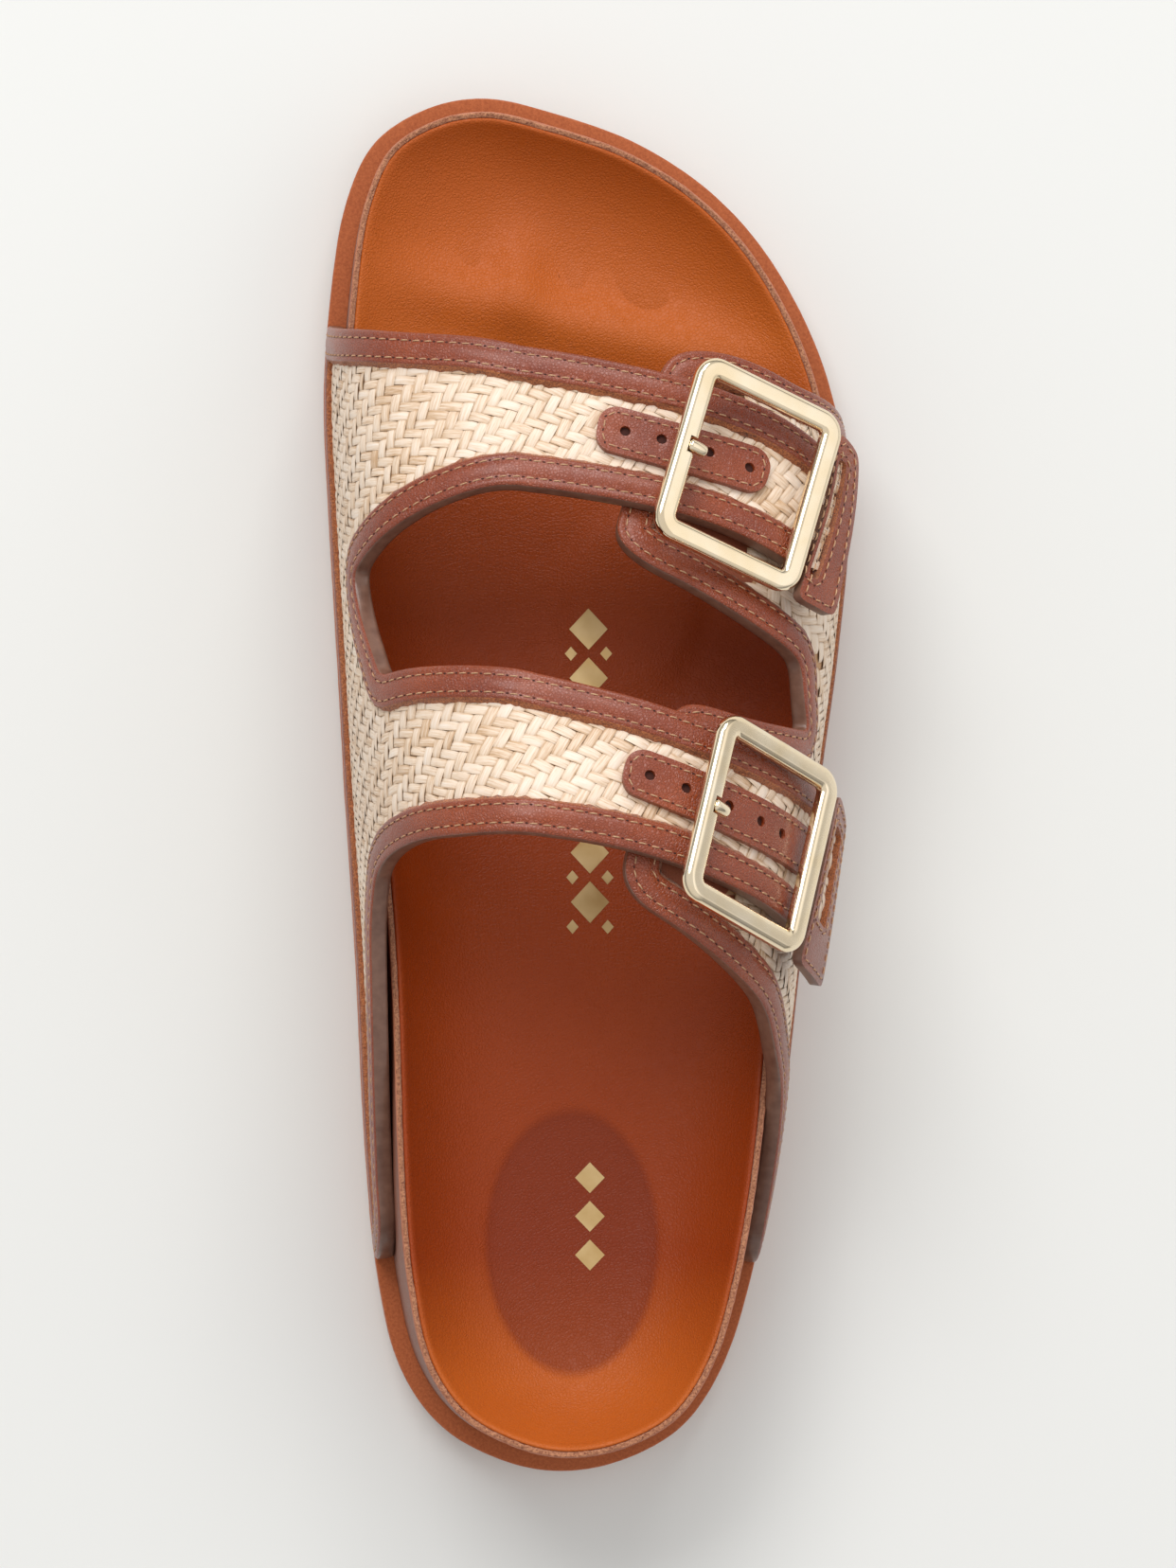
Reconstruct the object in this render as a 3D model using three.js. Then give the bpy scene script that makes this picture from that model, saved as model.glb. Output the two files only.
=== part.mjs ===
// Two-strap raffia sandal, right foot, size for a 240 mm foot.
// Millimetres, +Z up, +Y to the toe, +X to the outer side of the foot.
// The origin lies on the floor under the middle of the sole's length.

import * as THREE from "three";
import { mergeVertices } from "three/addons/utils/BufferGeometryUtils.js";

// Driving sizes of the sole
const SOLE_LENGTH = 252;
const BALL_WIDTH = 95.7;
const OUTSOLE_THICKNESS = 4.8;
const MIDSOLE_THICKNESS = 3.4;
const TOE_SPRING = 5;
const SPRING_START = 0.76;
const EDGE_BEVEL = 0.7;

// Driving sizes of the footbed
const RIM_HEIGHT = 41;
const RIM_WRAP = 1.4;
const LINING = 1.4;
const WALL_LEAN = 3.8;
const WAIST_LEAN = 0.5;
const WAIST_RISE = 0.55;
const CUP_POWER = 5.5;
const CUP_HALF_WIDTH = BALL_WIDTH * 0.4;

// Grip ridge under the toes. share: its place, slant: how it drifts back to the outer
// side for each millimetre, middle: where it is at that place, width: its half width
const TOE_RIDGE = { height: 2.6, share: 0.835, slant: 0.0009, middle: -10, width: 0.026 };

// Driving sizes of the upper
const INSTEP_HEIGHT = 82;
const EDGE_SETBACK = 0.8;
const RAFFIA_WALL = 1.7;
const BORDER_WALL = 1.1;
const BORDER_WIDTH = 6;
const BORDER_PROUD = 0.8;
const GAP = 0.3;

// Driving sizes of the fittings
const FRAME_WIDTH = 35;
const FRAME_LENGTH = 31.4;
const FRAME_BAR = 4;
const FRAME_DEPTH = 2.8;
const FRAME_CORNER = 4.6;
const FRAME_SQUARENESS = 3;
const PATCH_WIDTH = 8.8;
const PATCH_WALL = 1.1;
const TAB_WALL = 1.6;
const PRONG_WIDTH = 2.4;

// Offsets of the upper's layers from the last's outer surface, inwards negative
const QUARTER_INNER = BORDER_PROUD - BORDER_WALL - GAP - RAFFIA_WALL;
const QUARTER_OUTER = QUARTER_INNER + RAFFIA_WALL;
const BORDER_INNER = QUARTER_OUTER + GAP;
const BORDER_OUTER = BORDER_INNER + BORDER_WALL;
const STRAP_LIFT = BORDER_OUTER + GAP - QUARTER_INNER;
const LEDGE = EDGE_SETBACK - QUARTER_INNER + GAP;
const LEDGE_TOP = OUTSOLE_THICKNESS + GAP + MIDSOLE_THICKNESS;

// How finely the curved pieces are cut
const ROUND_STATIONS = 72;
const FLAT_REACH = 0.6;
const CORNER_STEPS = 5;
const SECTION_STEPS = 12;
const TAB_STEPS = { along: 6, across: 3 };

// Sole outline. share: place along the length from the heel. medial and lateral:
// half widths as shares of the ball width, outer side positive.
const SOLE_OUTLINE = [
  { share: 0.0, medial: -0.047, lateral: -0.047 },
  { share: 0.008, medial: -0.16, lateral: 0.072 },
  { share: 0.03, medial: -0.268, lateral: 0.178 },
  { share: 0.075, medial: -0.355, lateral: 0.262 },
  { share: 0.14, medial: -0.398, lateral: 0.318 },
  { share: 0.24, medial: -0.424, lateral: 0.37 },
  { share: 0.38, medial: -0.443, lateral: 0.414 },
  { share: 0.5, medial: -0.464, lateral: 0.45 },
  { share: 0.6, medial: -0.479, lateral: 0.486 },
  { share: 0.7, medial: -0.495, lateral: 0.506 },
  { share: 0.78, medial: -0.504, lateral: 0.481 },
  { share: 0.86, medial: -0.491, lateral: 0.397 },
  { share: 0.925, medial: -0.462, lateral: 0.266 },
  { share: 0.97, medial: -0.402, lateral: 0.088 },
  { share: 0.992, medial: -0.31, lateral: -0.085 },
  { share: 1.0, medial: -0.202, lateral: -0.202 },
];

// Footbed heights as shares of the rim's height at the heel. cup: the middle of the
// footbed, medial and lateral: the rim on each side, lean: how far the side wall
// leans in, as a share of WALL_LEAN.
const FOOTBED_PROFILE = [
  { share: 0.0, cup: 0.66, medial: 1.0, lateral: 1.0, lean: 0.4 },
  { share: 0.1, cup: 0.59, medial: 1.0, lateral: 1.0, lean: 0.42 },
  { share: 0.2, cup: 0.57, medial: 0.97, lateral: 0.95, lean: 0.66 },
  { share: 0.3, cup: 0.59, medial: 0.94, lateral: 0.87, lean: 0.95 },
  { share: 0.42, cup: 0.575, medial: 0.94, lateral: 0.79, lean: 0.9 },
  { share: 0.52, cup: 0.5, medial: 0.86, lateral: 0.72, lean: 0.6 },
  { share: 0.62, cup: 0.42, medial: 0.71, lateral: 0.64, lean: 0.3 },
  { share: 0.72, cup: 0.375, medial: 0.6, lateral: 0.57, lean: 0.2 },
  { share: 0.82, cup: 0.37, medial: 0.53, lateral: 0.52, lean: 0.12 },
  { share: 0.92, cup: 0.38, medial: 0.5, lateral: 0.5, lean: 0.06 },
  { share: 1.0, cup: 0.43, medial: 0.5, lateral: 0.5, lean: 0.06 },
];

// Sections of the last that the upper is pulled over. ridge: where its top line runs, as a
// share of the ball width, height: of the instep height, medialPower and lateralPower: how
// square each side of the section is.
const LAST_SECTIONS = [
  { share: 0.05, ridge: -0.05, height: 0.5, medialPower: 2.5, lateralPower: 2.6 },
  { share: 0.15, ridge: -0.06, height: 0.62, medialPower: 2.5, lateralPower: 2.6 },
  { share: 0.25, ridge: -0.08, height: 0.8, medialPower: 2.6, lateralPower: 2.7 },
  { share: 0.35, ridge: -0.1, height: 0.95, medialPower: 2.7, lateralPower: 2.8 },
  { share: 0.45, ridge: -0.11, height: 0.965, medialPower: 2.7, lateralPower: 2.7 },
  { share: 0.55, ridge: -0.12, height: 0.87, medialPower: 2.8, lateralPower: 2.7 },
  { share: 0.65, ridge: -0.13, height: 0.755, medialPower: 2.9, lateralPower: 2.8 },
  { share: 0.75, ridge: -0.14, height: 0.655, medialPower: 3.0, lateralPower: 2.9 },
  { share: 0.85, ridge: -0.15, height: 0.57, medialPower: 3.0, lateralPower: 2.8 },
  { share: 0.92, ridge: -0.16, height: 0.52, medialPower: 3.0, lateralPower: 2.8 },
];

// Top line of each quarter. share: along the sole, rise: around the section from the
// ledge, 0 at the ledge and 1 at the other side's ledge.
const MEDIAL_TAIL = [
  { share: 0.155, rise: 0.06 },
  { share: 0.166, rise: 0.092 },
  { share: 0.215, rise: 0.12 },
  { share: 0.287, rise: 0.139 },
  { share: 0.35, rise: 0.15 },
  { share: 0.4, rise: 0.165 },
  { share: 0.43, rise: 0.19 },
];
const MEDIAL_CUTOUT = [
  { share: 0.568, rise: 0.235 },
  { share: 0.581, rise: 0.226 },
  { share: 0.605, rise: 0.204 },
  { share: 0.625, rise: 0.19 },
  { share: 0.645, rise: 0.185 },
];
const LATERAL_TAIL = [
  { share: 0.152, rise: 0.05 },
  { share: 0.165, rise: 0.082 },
  { share: 0.21, rise: 0.118 },
  { share: 0.245, rise: 0.138 },
  { share: 0.282, rise: 0.168 },
  { share: 0.303, rise: 0.198 },
];
const LATERAL_CUTOUT = [
  { share: 0.531, rise: 0.192 },
  { share: 0.548, rise: 0.206 },
  { share: 0.564, rise: 0.214 },
  { share: 0.58, rise: 0.222 },
];

// Edges of the straps and tongues, from the root to the free end. Each row names one line
// across the strap: its rear end and its front end.
const MEDIAL_REAR_STRAP = [
  { rearRise: 0.19, rear: 0.43, frontRise: 0.235, front: 0.568 },
  { rearRise: 0.228, rear: 0.4425, frontRise: 0.268, front: 0.571 },
  { rearRise: 0.29, rear: 0.452, frontRise: 0.318, front: 0.573 },
  { rearRise: 0.355, rear: 0.4545, frontRise: 0.375, front: 0.5715 },
  { rearRise: 0.42, rear: 0.455, frontRise: 0.43, front: 0.568 },
  { rearRise: 0.487, rear: 0.453, frontRise: 0.487, front: 0.563 },
  { rearRise: 0.545, rear: 0.448, frontRise: 0.545, front: 0.554 },
  { rearRise: 0.6, rear: 0.44, frontRise: 0.6, front: 0.5435 },
  { rearRise: 0.66, rear: 0.4265, frontRise: 0.66, front: 0.529 },
  { rearRise: 0.72, rear: 0.41, frontRise: 0.72, front: 0.5145 },
  { rearRise: 0.78, rear: 0.3905, frontRise: 0.78, front: 0.5005 },
  { rearRise: 0.83, rear: 0.372, frontRise: 0.83, front: 0.488 },
];
const MEDIAL_FRONT_STRAP = [
  { rearRise: 0.185, rear: 0.645, frontRise: 0.185, front: 0.822 },
  { rearRise: 0.22, rear: 0.656, frontRise: 0.22, front: 0.82 },
  { rearRise: 0.26, rear: 0.668, frontRise: 0.26, front: 0.8175 },
  { rearRise: 0.3, rear: 0.6785, frontRise: 0.3, front: 0.815 },
  { rearRise: 0.35, rear: 0.6885, frontRise: 0.35, front: 0.812 },
  { rearRise: 0.42, rear: 0.6965, frontRise: 0.42, front: 0.807 },
  { rearRise: 0.48, rear: 0.6975, frontRise: 0.48, front: 0.8005 },
  { rearRise: 0.55, rear: 0.691, frontRise: 0.55, front: 0.7925 },
  { rearRise: 0.61, rear: 0.6825, frontRise: 0.61, front: 0.783 },
  { rearRise: 0.66, rear: 0.672, frontRise: 0.66, front: 0.773 },
  { rearRise: 0.71, rear: 0.6565, frontRise: 0.71, front: 0.7585 },
  { rearRise: 0.75, rear: 0.6415, frontRise: 0.75, front: 0.7435 },
  { rearRise: 0.785, rear: 0.627, frontRise: 0.785, front: 0.728 },
];
const LATERAL_REAR_TONGUE = [
  { rearRise: 0.198, rear: 0.303, frontRise: 0.192, front: 0.531 },
  { rearRise: 0.236, rear: 0.335, frontRise: 0.235, front: 0.533 },
  { rearRise: 0.265, rear: 0.35, frontRise: 0.265, front: 0.535 },
  { rearRise: 0.298, rear: 0.365, frontRise: 0.298, front: 0.539 },
  { rearRise: 0.336, rear: 0.382, frontRise: 0.326, front: 0.544 },
  { rearRise: 0.37, rear: 0.396, frontRise: 0.346, front: 0.547 },
  { rearRise: 0.398, rear: 0.407, frontRise: 0.36, front: 0.5455 },
  { rearRise: 0.413, rear: 0.4195, frontRise: 0.367, front: 0.541 },
  { rearRise: 0.418, rear: 0.431, frontRise: 0.372, front: 0.534 },
];
const LATERAL_FRONT_TONGUE = [
  { rearRise: 0.222, rear: 0.58, frontRise: 0.222, front: 0.779 },
  { rearRise: 0.247, rear: 0.59, frontRise: 0.245, front: 0.786 },
  { rearRise: 0.28, rear: 0.602, frontRise: 0.28, front: 0.796 },
  { rearRise: 0.318, rear: 0.617, frontRise: 0.31, front: 0.801 },
  { rearRise: 0.354, rear: 0.632, frontRise: 0.338, front: 0.8015 },
  { rearRise: 0.385, rear: 0.6435, frontRise: 0.354, front: 0.798 },
  { rearRise: 0.408, rear: 0.655, frontRise: 0.363, front: 0.792 },
  { rearRise: 0.422, rear: 0.668, frontRise: 0.37, front: 0.783 },
];

// Front edge of the band at the ledge, from the ledge up to the strap's root.
const MEDIAL_FRONT = { ledge: 0.834, root: 0.822 };
const LATERAL_FRONT = { ledge: 0.752, root: 0.779 };

// Leather strips with the buckle holes, along the middle of each strap.
const PATCHES = {
  front: { start: 0.566, end: 0.712 },
  rear: { start: 0.58, end: 0.792 },
};

// Flaps that hold the buckles. near: the edge at the buckle, far: the outer edge.
const TABS = {
  front: {
    near: { rear: 0.62, rearRise: 0.735, front: 0.742, frontRise: 0.79 },
    far: { rear: 0.61, rearRise: 0.782, front: 0.728, frontRise: 0.82 },
  },
  rear: {
    near: { rear: 0.37, rearRise: 0.765, front: 0.489, frontRise: 0.825 },
    far: { rear: 0.352, rearRise: 0.82, front: 0.468, frontRise: 0.872 },
  },
};

// Buckle frames. share and rise: the point of the last under the middle, lift: the height
// of the frame's middle plane over it, turn, fall and bank: degrees about the three axes.
const FRAMES = {
  front: { share: 0.702, rise: 0.686, lift: 7.6, turn: -23, fall: 24, bank: -14.5 },
  rear: { share: 0.4545, rise: 0.711, lift: 5, turn: -27.4, fall: 38.4, bank: -20.5 },
};

// Smooth curve through the rows of a table, in the given column.
function throughRows(places, values, place) {
  const last = places.length - 1;
  let i = 0;
  while (i < last - 1 && places[i + 1] < place) {
    i += 1;
  }
  const slopeAt = (k) => {
    if (k === 0 || k === last) {
      const j = k === 0 ? 0 : last - 1;
      return (values[j + 1] - values[j]) / (places[j + 1] - places[j]);
    }
    const before = places[k] - places[k - 1];
    const after = places[k + 1] - places[k];
    const slopeBefore = (values[k] - values[k - 1]) / before;
    const slopeAfter = (values[k + 1] - values[k]) / after;
    return (slopeBefore * after + slopeAfter * before) / (before + after);
  };
  const span = places[i + 1] - places[i];
  const t = (place - places[i]) / span;
  const t2 = t * t;
  const t3 = t2 * t;
  return (2 * t3 - 3 * t2 + 1) * values[i] + (t3 - 2 * t2 + t) * slopeAt(i) * span
    + (3 * t2 - 2 * t3) * values[i + 1] + (t3 - t2) * slopeAt(i + 1) * span;
}

function column(table, name, share) {
  return throughRows(table.map((row) => row.share), table.map((row) => row[name]), share);
}

const mix = (a, b, t) => a + (b - a) * t;
const shareOf = (y) => y / SOLE_LENGTH + 0.5;
const lengthAt = (share) => (share - 0.5) * SOLE_LENGTH;
const underside = (share) => TOE_SPRING * Math.max(0, (share - SPRING_START) / (1 - SPRING_START)) ** 2;

// The outline is walked by one turn: 0 at the heel, the outer side positive, the inner
// side negative, PI at the toe. The rows are wrapped so that both tips are smooth.
const ROW_TURNS = SOLE_OUTLINE.map((row) => Math.acos(1 - 2 * row.share));
const LAST_ROW = SOLE_OUTLINE.length - 1;
const OUTLINE_TURNS = [];
const OUTLINE_SIDES = [];
for (let i = LAST_ROW; i > 0; i -= 1) {
  OUTLINE_TURNS.push(-ROW_TURNS[i]);
  OUTLINE_SIDES.push(SOLE_OUTLINE[i].medial * BALL_WIDTH);
}
for (let i = 0; i <= LAST_ROW; i += 1) {
  OUTLINE_TURNS.push(ROW_TURNS[i]);
  OUTLINE_SIDES.push(SOLE_OUTLINE[i].lateral * BALL_WIDTH);
}
OUTLINE_TURNS.unshift(ROW_TURNS[LAST_ROW - 1] - 2 * Math.PI);
OUTLINE_SIDES.unshift(SOLE_OUTLINE[LAST_ROW - 1].lateral * BALL_WIDTH);
OUTLINE_TURNS.push(2 * Math.PI - ROW_TURNS[LAST_ROW - 1]);
OUTLINE_SIDES.push(SOLE_OUTLINE[LAST_ROW - 1].medial * BALL_WIDTH);

const sideAt = (turn) => throughRows(OUTLINE_TURNS, OUTLINE_SIDES, turn);
const alongAt = (turn) => -Math.cos(turn) * SOLE_LENGTH / 2;

// Point of the sole's outline, moved in by the inset.
function outlinePoint(turn, inset) {
  const step = 0.001;
  const dx = sideAt(turn + step) - sideAt(turn - step);
  const dy = alongAt(turn + step) - alongAt(turn - step);
  const size = Math.hypot(dx, dy);
  return { x: sideAt(turn) - inset * dy / size, y: alongAt(turn) + inset * dx / size };
}

const TURNS = Array.from({ length: ROUND_STATIONS }, (_, i) => -Math.PI + (2 * Math.PI * i) / ROUND_STATIONS);

// The footbed's middle line, which all rings shrink to.
const SPINE_END = 0.13;
function spinePoint(turn) {
  const share = mix(SPINE_END, 1 - SPINE_END, (1 - Math.cos(turn)) / 2);
  const rowTurn = Math.acos(1 - 2 * share);
  return { x: (sideAt(rowTurn) + sideAt(-rowTurn)) / 2, y: lengthAt(share) };
}

// One ring at a share of the way from the middle line to the outline.
function ring(inset, reach, heightAt) {
  return TURNS.map((turn) => {
    const edge = outlinePoint(turn, typeof inset === "function" ? inset(turn) : inset);
    const spine = spinePoint(turn);
    const x = mix(spine.x, edge.x, reach);
    const y = mix(spine.y, edge.y, reach);
    return new THREE.Vector3(x, y, heightAt(x, y, turn, reach));
  });
}

// Closed mesh from points and triangles, vertices merged, faces outwards.
function closedGeometry(points, faces) {
  const positions = new Float32Array(points.length * 3);
  points.forEach((point, i) => point.toArray(positions, i * 3));
  let volume = 0;
  for (const [a, b, c] of faces) {
    volume += points[a].dot(new THREE.Vector3().crossVectors(points[b], points[c]));
  }
  const outward = volume > 0 ? faces : faces.map(([a, b, c]) => [a, c, b]);
  let geometry = new THREE.BufferGeometry();
  geometry.setAttribute("position", new THREE.BufferAttribute(positions, 3));
  geometry.setIndex(outward.flat());
  geometry = mergeVertices(geometry, 1e-4);
  const index = geometry.index.array;
  const kept = [];
  for (let i = 0; i < index.length; i += 3) {
    const [a, b, c] = [index[i], index[i + 1], index[i + 2]];
    if (a !== b && b !== c && a !== c) {
      kept.push(a, b, c);
    }
  }
  geometry.setIndex(kept);
  geometry.computeVertexNormals();
  return geometry;
}

// Skin over rings that each shrink to the middle line at the first and the last one.
function ringSolid(rings) {
  const count = rings[0].length;
  const faces = [];
  for (let r = 0; r < rings.length - 1; r += 1) {
    for (let i = 0; i < count; i += 1) {
      const next = (i + 1) % count;
      const a = r * count + i;
      const b = r * count + next;
      faces.push([a, b, a + count], [b, b + count, a + count]);
    }
  }
  return closedGeometry(rings.flat(), faces);
}

// A flat layer of the sole between two heights over the underside, with bevelled edges.
function soleLayer(bottom, top, bevel) {
  const at = (height) => (x, y) => underside(shareOf(y)) + height;
  return ringSolid([
    ring(0, 0, at(bottom)),
    ring(0, FLAT_REACH, at(bottom)),
    ring(bevel, 1, at(bottom)),
    ring(0, 1, at(bottom + bevel)),
    ring(0, 1, at(top - bevel)),
    ring(bevel, 1, at(top)),
    ring(0, FLAT_REACH, at(top)),
    ring(0, 0, at(top)),
  ]);
}

// Height of the rim. The two sides' heights run into one another at the heel and the toe.
const RIM_BLEND = 3;
const RIM_SPRING = 0.2;
const rimHeight = (turn) => {
  const side = turn > 0 ? "lateral" : "medial";
  const share = shareOf(alongAt(turn));
  const tip = Math.abs(Math.sin(turn));
  const own = column(FOOTBED_PROFILE, side, share);
  const other = column(FOOTBED_PROFILE, side === "lateral" ? "medial" : "lateral", share);
  const blend = 0.5 + 0.5 * Math.min(1, tip * RIM_BLEND);
  return RIM_HEIGHT * mix(other, own, blend) + underside(share) * RIM_SPRING;
};
const leanAt = (turn) => WALL_LEAN * column(FOOTBED_PROFILE, "lean", shareOf(alongAt(turn)));

// Height of the footbed's surface. reach is 0 at the middle line and 1 at the lining's rim.
function footbedHeight(x, y, turn, reach) {
  const share = shareOf(y);
  const cup = RIM_HEIGHT * column(FOOTBED_PROFILE, "cup", share);
  const crest = TOE_RIDGE.share - TOE_RIDGE.slant * (x - TOE_RIDGE.middle);
  const ridge = TOE_RIDGE.height * Math.exp(-(((share - crest) / TOE_RIDGE.width) ** 2)) * (1 - reach ** 3);
  return mix(cup, rimHeight(turn), reach ** CUP_POWER) + ridge;
}

// Height of the lining's lower side, as thick across its slope as on the flat.
function liningUnderside(x, y, turn, reach) {
  const fall = rimHeight(turn) - RIM_HEIGHT * column(FOOTBED_PROFILE, "cup", shareOf(y));
  const slope = CUP_POWER * fall * reach ** (CUP_POWER - 1) / CUP_HALF_WIDTH;
  return footbedHeight(x, y, turn, reach) - LINING * Math.hypot(1, slope);
}

const CUP_REACHES = [0, 0.35, 0.6, 0.78, 0.88, 0.94, 0.975, 1];
const ledgeHeight = (x, y) => underside(shareOf(y)) + LEDGE_TOP + GAP;
const rimInset = (turn) => LEDGE + leanAt(turn);
const liningInset = (turn) => rimInset(turn) + RIM_WRAP + GAP;

function footbedGeometry() {
  const wrapInset = (turn) => rimInset(turn) + RIM_WRAP;
  const rim = (x, y, turn) => rimHeight(turn);
  const waist = (x, y, turn) => mix(ledgeHeight(x, y), rimHeight(turn), WAIST_RISE);
  const under = (x, y, turn, reach) => liningUnderside(x, y, turn, reach) - GAP;
  return ringSolid([
    ring(LEDGE, 0, ledgeHeight),
    ring(LEDGE, FLAT_REACH, ledgeHeight),
    ring(LEDGE, 1, ledgeHeight),
    ring((turn) => LEDGE + leanAt(turn) * WAIST_LEAN, 1, waist),
    ring(rimInset, 1, rim),
    ring(wrapInset, 1, rim),
    ring(wrapInset, 1, under),
    ...CUP_REACHES.slice(1, -1).reverse().map((reach) => ring(liningInset, reach, under)),
    ring(liningInset, 0, under),
  ]);
}

function insoleGeometry() {
  return ringSolid([
    ...CUP_REACHES.map((reach) => ring(liningInset, reach, footbedHeight)),
    ...[...CUP_REACHES].reverse().map((reach) => ring(liningInset, reach, liningUnderside)),
  ]);
}

// The last: feet of the section on the ledge, and its top line.
function lastSection(y) {
  const share = shareOf(y);
  const turn = Math.acos(1 - 2 * share);
  const step = 0.01;
  const run = SOLE_LENGTH / 2 * Math.sin(turn) * 2 * step;
  const medialSlope = (sideAt(-turn - step) - sideAt(-turn + step)) / run;
  const lateralSlope = (sideAt(turn + step) - sideAt(turn - step)) / run;
  return {
    medial: sideAt(-turn) + EDGE_SETBACK * Math.hypot(1, medialSlope),
    lateral: sideAt(turn) - EDGE_SETBACK * Math.hypot(1, lateralSlope),
    ridge: column(LAST_SECTIONS, "ridge", share) * BALL_WIDTH,
    foot: underside(share) + LEDGE_TOP + GAP,
    top: column(LAST_SECTIONS, "height", share) * INSTEP_HEIGHT,
    medialPower: column(LAST_SECTIONS, "medialPower", share),
    lateralPower: column(LAST_SECTIONS, "lateralPower", share),
  };
}

// Point of the last. around is 0 at the inner ledge, 1 at the outer ledge.
function lastPoint(share, around) {
  const y = lengthAt(share);
  const section = lastSection(y);
  const angle = Math.PI * around;
  const inner = Math.cos(angle) > 0;
  const power = inner ? section.medialPower : section.lateralPower;
  const reach = inner ? section.ridge - section.medial : section.lateral - section.ridge;
  const across = Math.abs(Math.cos(angle));
  const up = Math.abs(Math.sin(angle));
  const radius = (across ** power + up ** power) ** (-1 / power);
  return new THREE.Vector3(
    section.ridge - Math.cos(angle) * radius * reach,
    y,
    section.foot + (section.top - section.foot) * radius * up,
  );
}

function lastNormal(share, around) {
  const step = 0.0008;
  const low = Math.max(0, around - step);
  const high = Math.min(1, around + step);
  const along = lastPoint(share + step, around).sub(lastPoint(share - step, around));
  const across = lastPoint(share, high).sub(lastPoint(share, low));
  return across.cross(along).normalize();
}

// The straps rise over the outer quarter's tongues on their way across the foot.
const LIFT_FROM = 0.3;
const LIFT_TO = 0.5;
function strapLift(around) {
  return STRAP_LIFT * THREE.MathUtils.smoothstep(around, LIFT_FROM, LIFT_TO);
}

// Point over the last. Close to the ledge the offset is level.
const LEVEL_FOOT = 0.02;
function surfacePoint(share, around, offset) {
  const normal = lastNormal(share, around);
  if (Math.min(around, 1 - around) < LEVEL_FOOT) {
    normal.setZ(0).normalize();
  }
  return lastPoint(share, around).addScaledVector(normal, offset);
}

// Shell between two offsets of the last over a set of four-cornered cells.
function shell(cells, around, inner, outer) {
  const points = [];
  const faces = [];
  const seen = new Map();
  const idOf = ([share, rise]) => {
    const key = `${share.toFixed(5)}/${rise.toFixed(5)}`;
    if (!seen.has(key)) {
      seen.set(key, points.length / 2);
      const place = around(rise);
      points.push(surfacePoint(share, place, outer(place)), surfacePoint(share, place, inner(place)));
    }
    return seen.get(key);
  };
  const edges = new Map();
  for (const cell of cells) {
    const ids = cell.map(idOf).filter((id, i, all) => id !== all[(i + 1) % all.length]);
    for (let i = 1; i < ids.length - 1; i += 1) {
      faces.push([ids[0] * 2, ids[i] * 2, ids[i + 1] * 2]);
      faces.push([ids[0] * 2 + 1, ids[i + 1] * 2 + 1, ids[i] * 2 + 1]);
    }
    ids.forEach((id, i) => edges.set(`${id}/${ids[(i + 1) % ids.length]}`, [id, ids[(i + 1) % ids.length]]));
  }
  for (const [a, b] of edges.values()) {
    if (!edges.has(`${b}/${a}`)) {
      faces.push([b * 2, a * 2, a * 2 + 1], [b * 2, a * 2 + 1, b * 2 + 1]);
    }
  }
  return closedGeometry(points, faces);
}

// Rows of a strap table, made finer by a smooth curve through each column.
function strapRows(table, steps) {
  const places = table.map((row, i) => i);
  const through = (name, place) => throughRows(places, table.map((row) => row[name]), place);
  return Array.from({ length: steps + 1 }, (_, i) => {
    const place = (table.length - 1) * i / steps;
    return {
      rearRise: through("rearRise", place),
      rear: through("rear", place),
      frontRise: through("frontRise", place),
      front: through("front", place),
    };
  });
}

// Length in millimetres that one unit of rise has at a point of the last.
function riseScale(around, share, rise) {
  const step = 0.005;
  return lastPoint(share, around(rise + step)).distanceTo(lastPoint(share, around(rise - step))) / (2 * step);
}

// Direction of an edge through two points, as shares of its length along and around,
// neither one less than the floor, so that a border stays narrow where its edge turns.
const DIRECTION_FLOOR = 0.45;
function edgeDirection(around, from, to) {
  const along = (to[0] - from[0]) * SOLE_LENGTH;
  const up = (to[1] - from[1]) * riseScale(around, (from[0] + to[0]) / 2, (from[1] + to[1]) / 2);
  const size = Math.hypot(along, up);
  return {
    along: Math.max(Math.abs(along) / size, DIRECTION_FLOOR),
    up: Math.max(Math.abs(up) / size, DIRECTION_FLOOR),
  };
}

// Shares across row i of a strap: its two borders and the raffia between them.
const RAFFIA_PARTS = 4;
const END_ROWS = 2;
function acrossShares(around, rows, i) {
  const before = rows[Math.max(0, i - 1)];
  const after = rows[Math.min(rows.length - 1, i + 1)];
  const width = (rows[i].front - rows[i].rear) * SOLE_LENGTH;
  const border = (side) => {
    const from = [before[side], before[`${side}Rise`]];
    const to = [after[side], after[`${side}Rise`]];
    return BORDER_WIDTH / edgeDirection(around, from, to).up / width;
  };
  const rear = border("rear");
  const front = border("front");
  const middle = Array.from({ length: RAFFIA_PARTS + 1 }, (_, k) => mix(rear, 1 - front, k / RAFFIA_PARTS));
  return [0, ...middle, 1];
}

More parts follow.
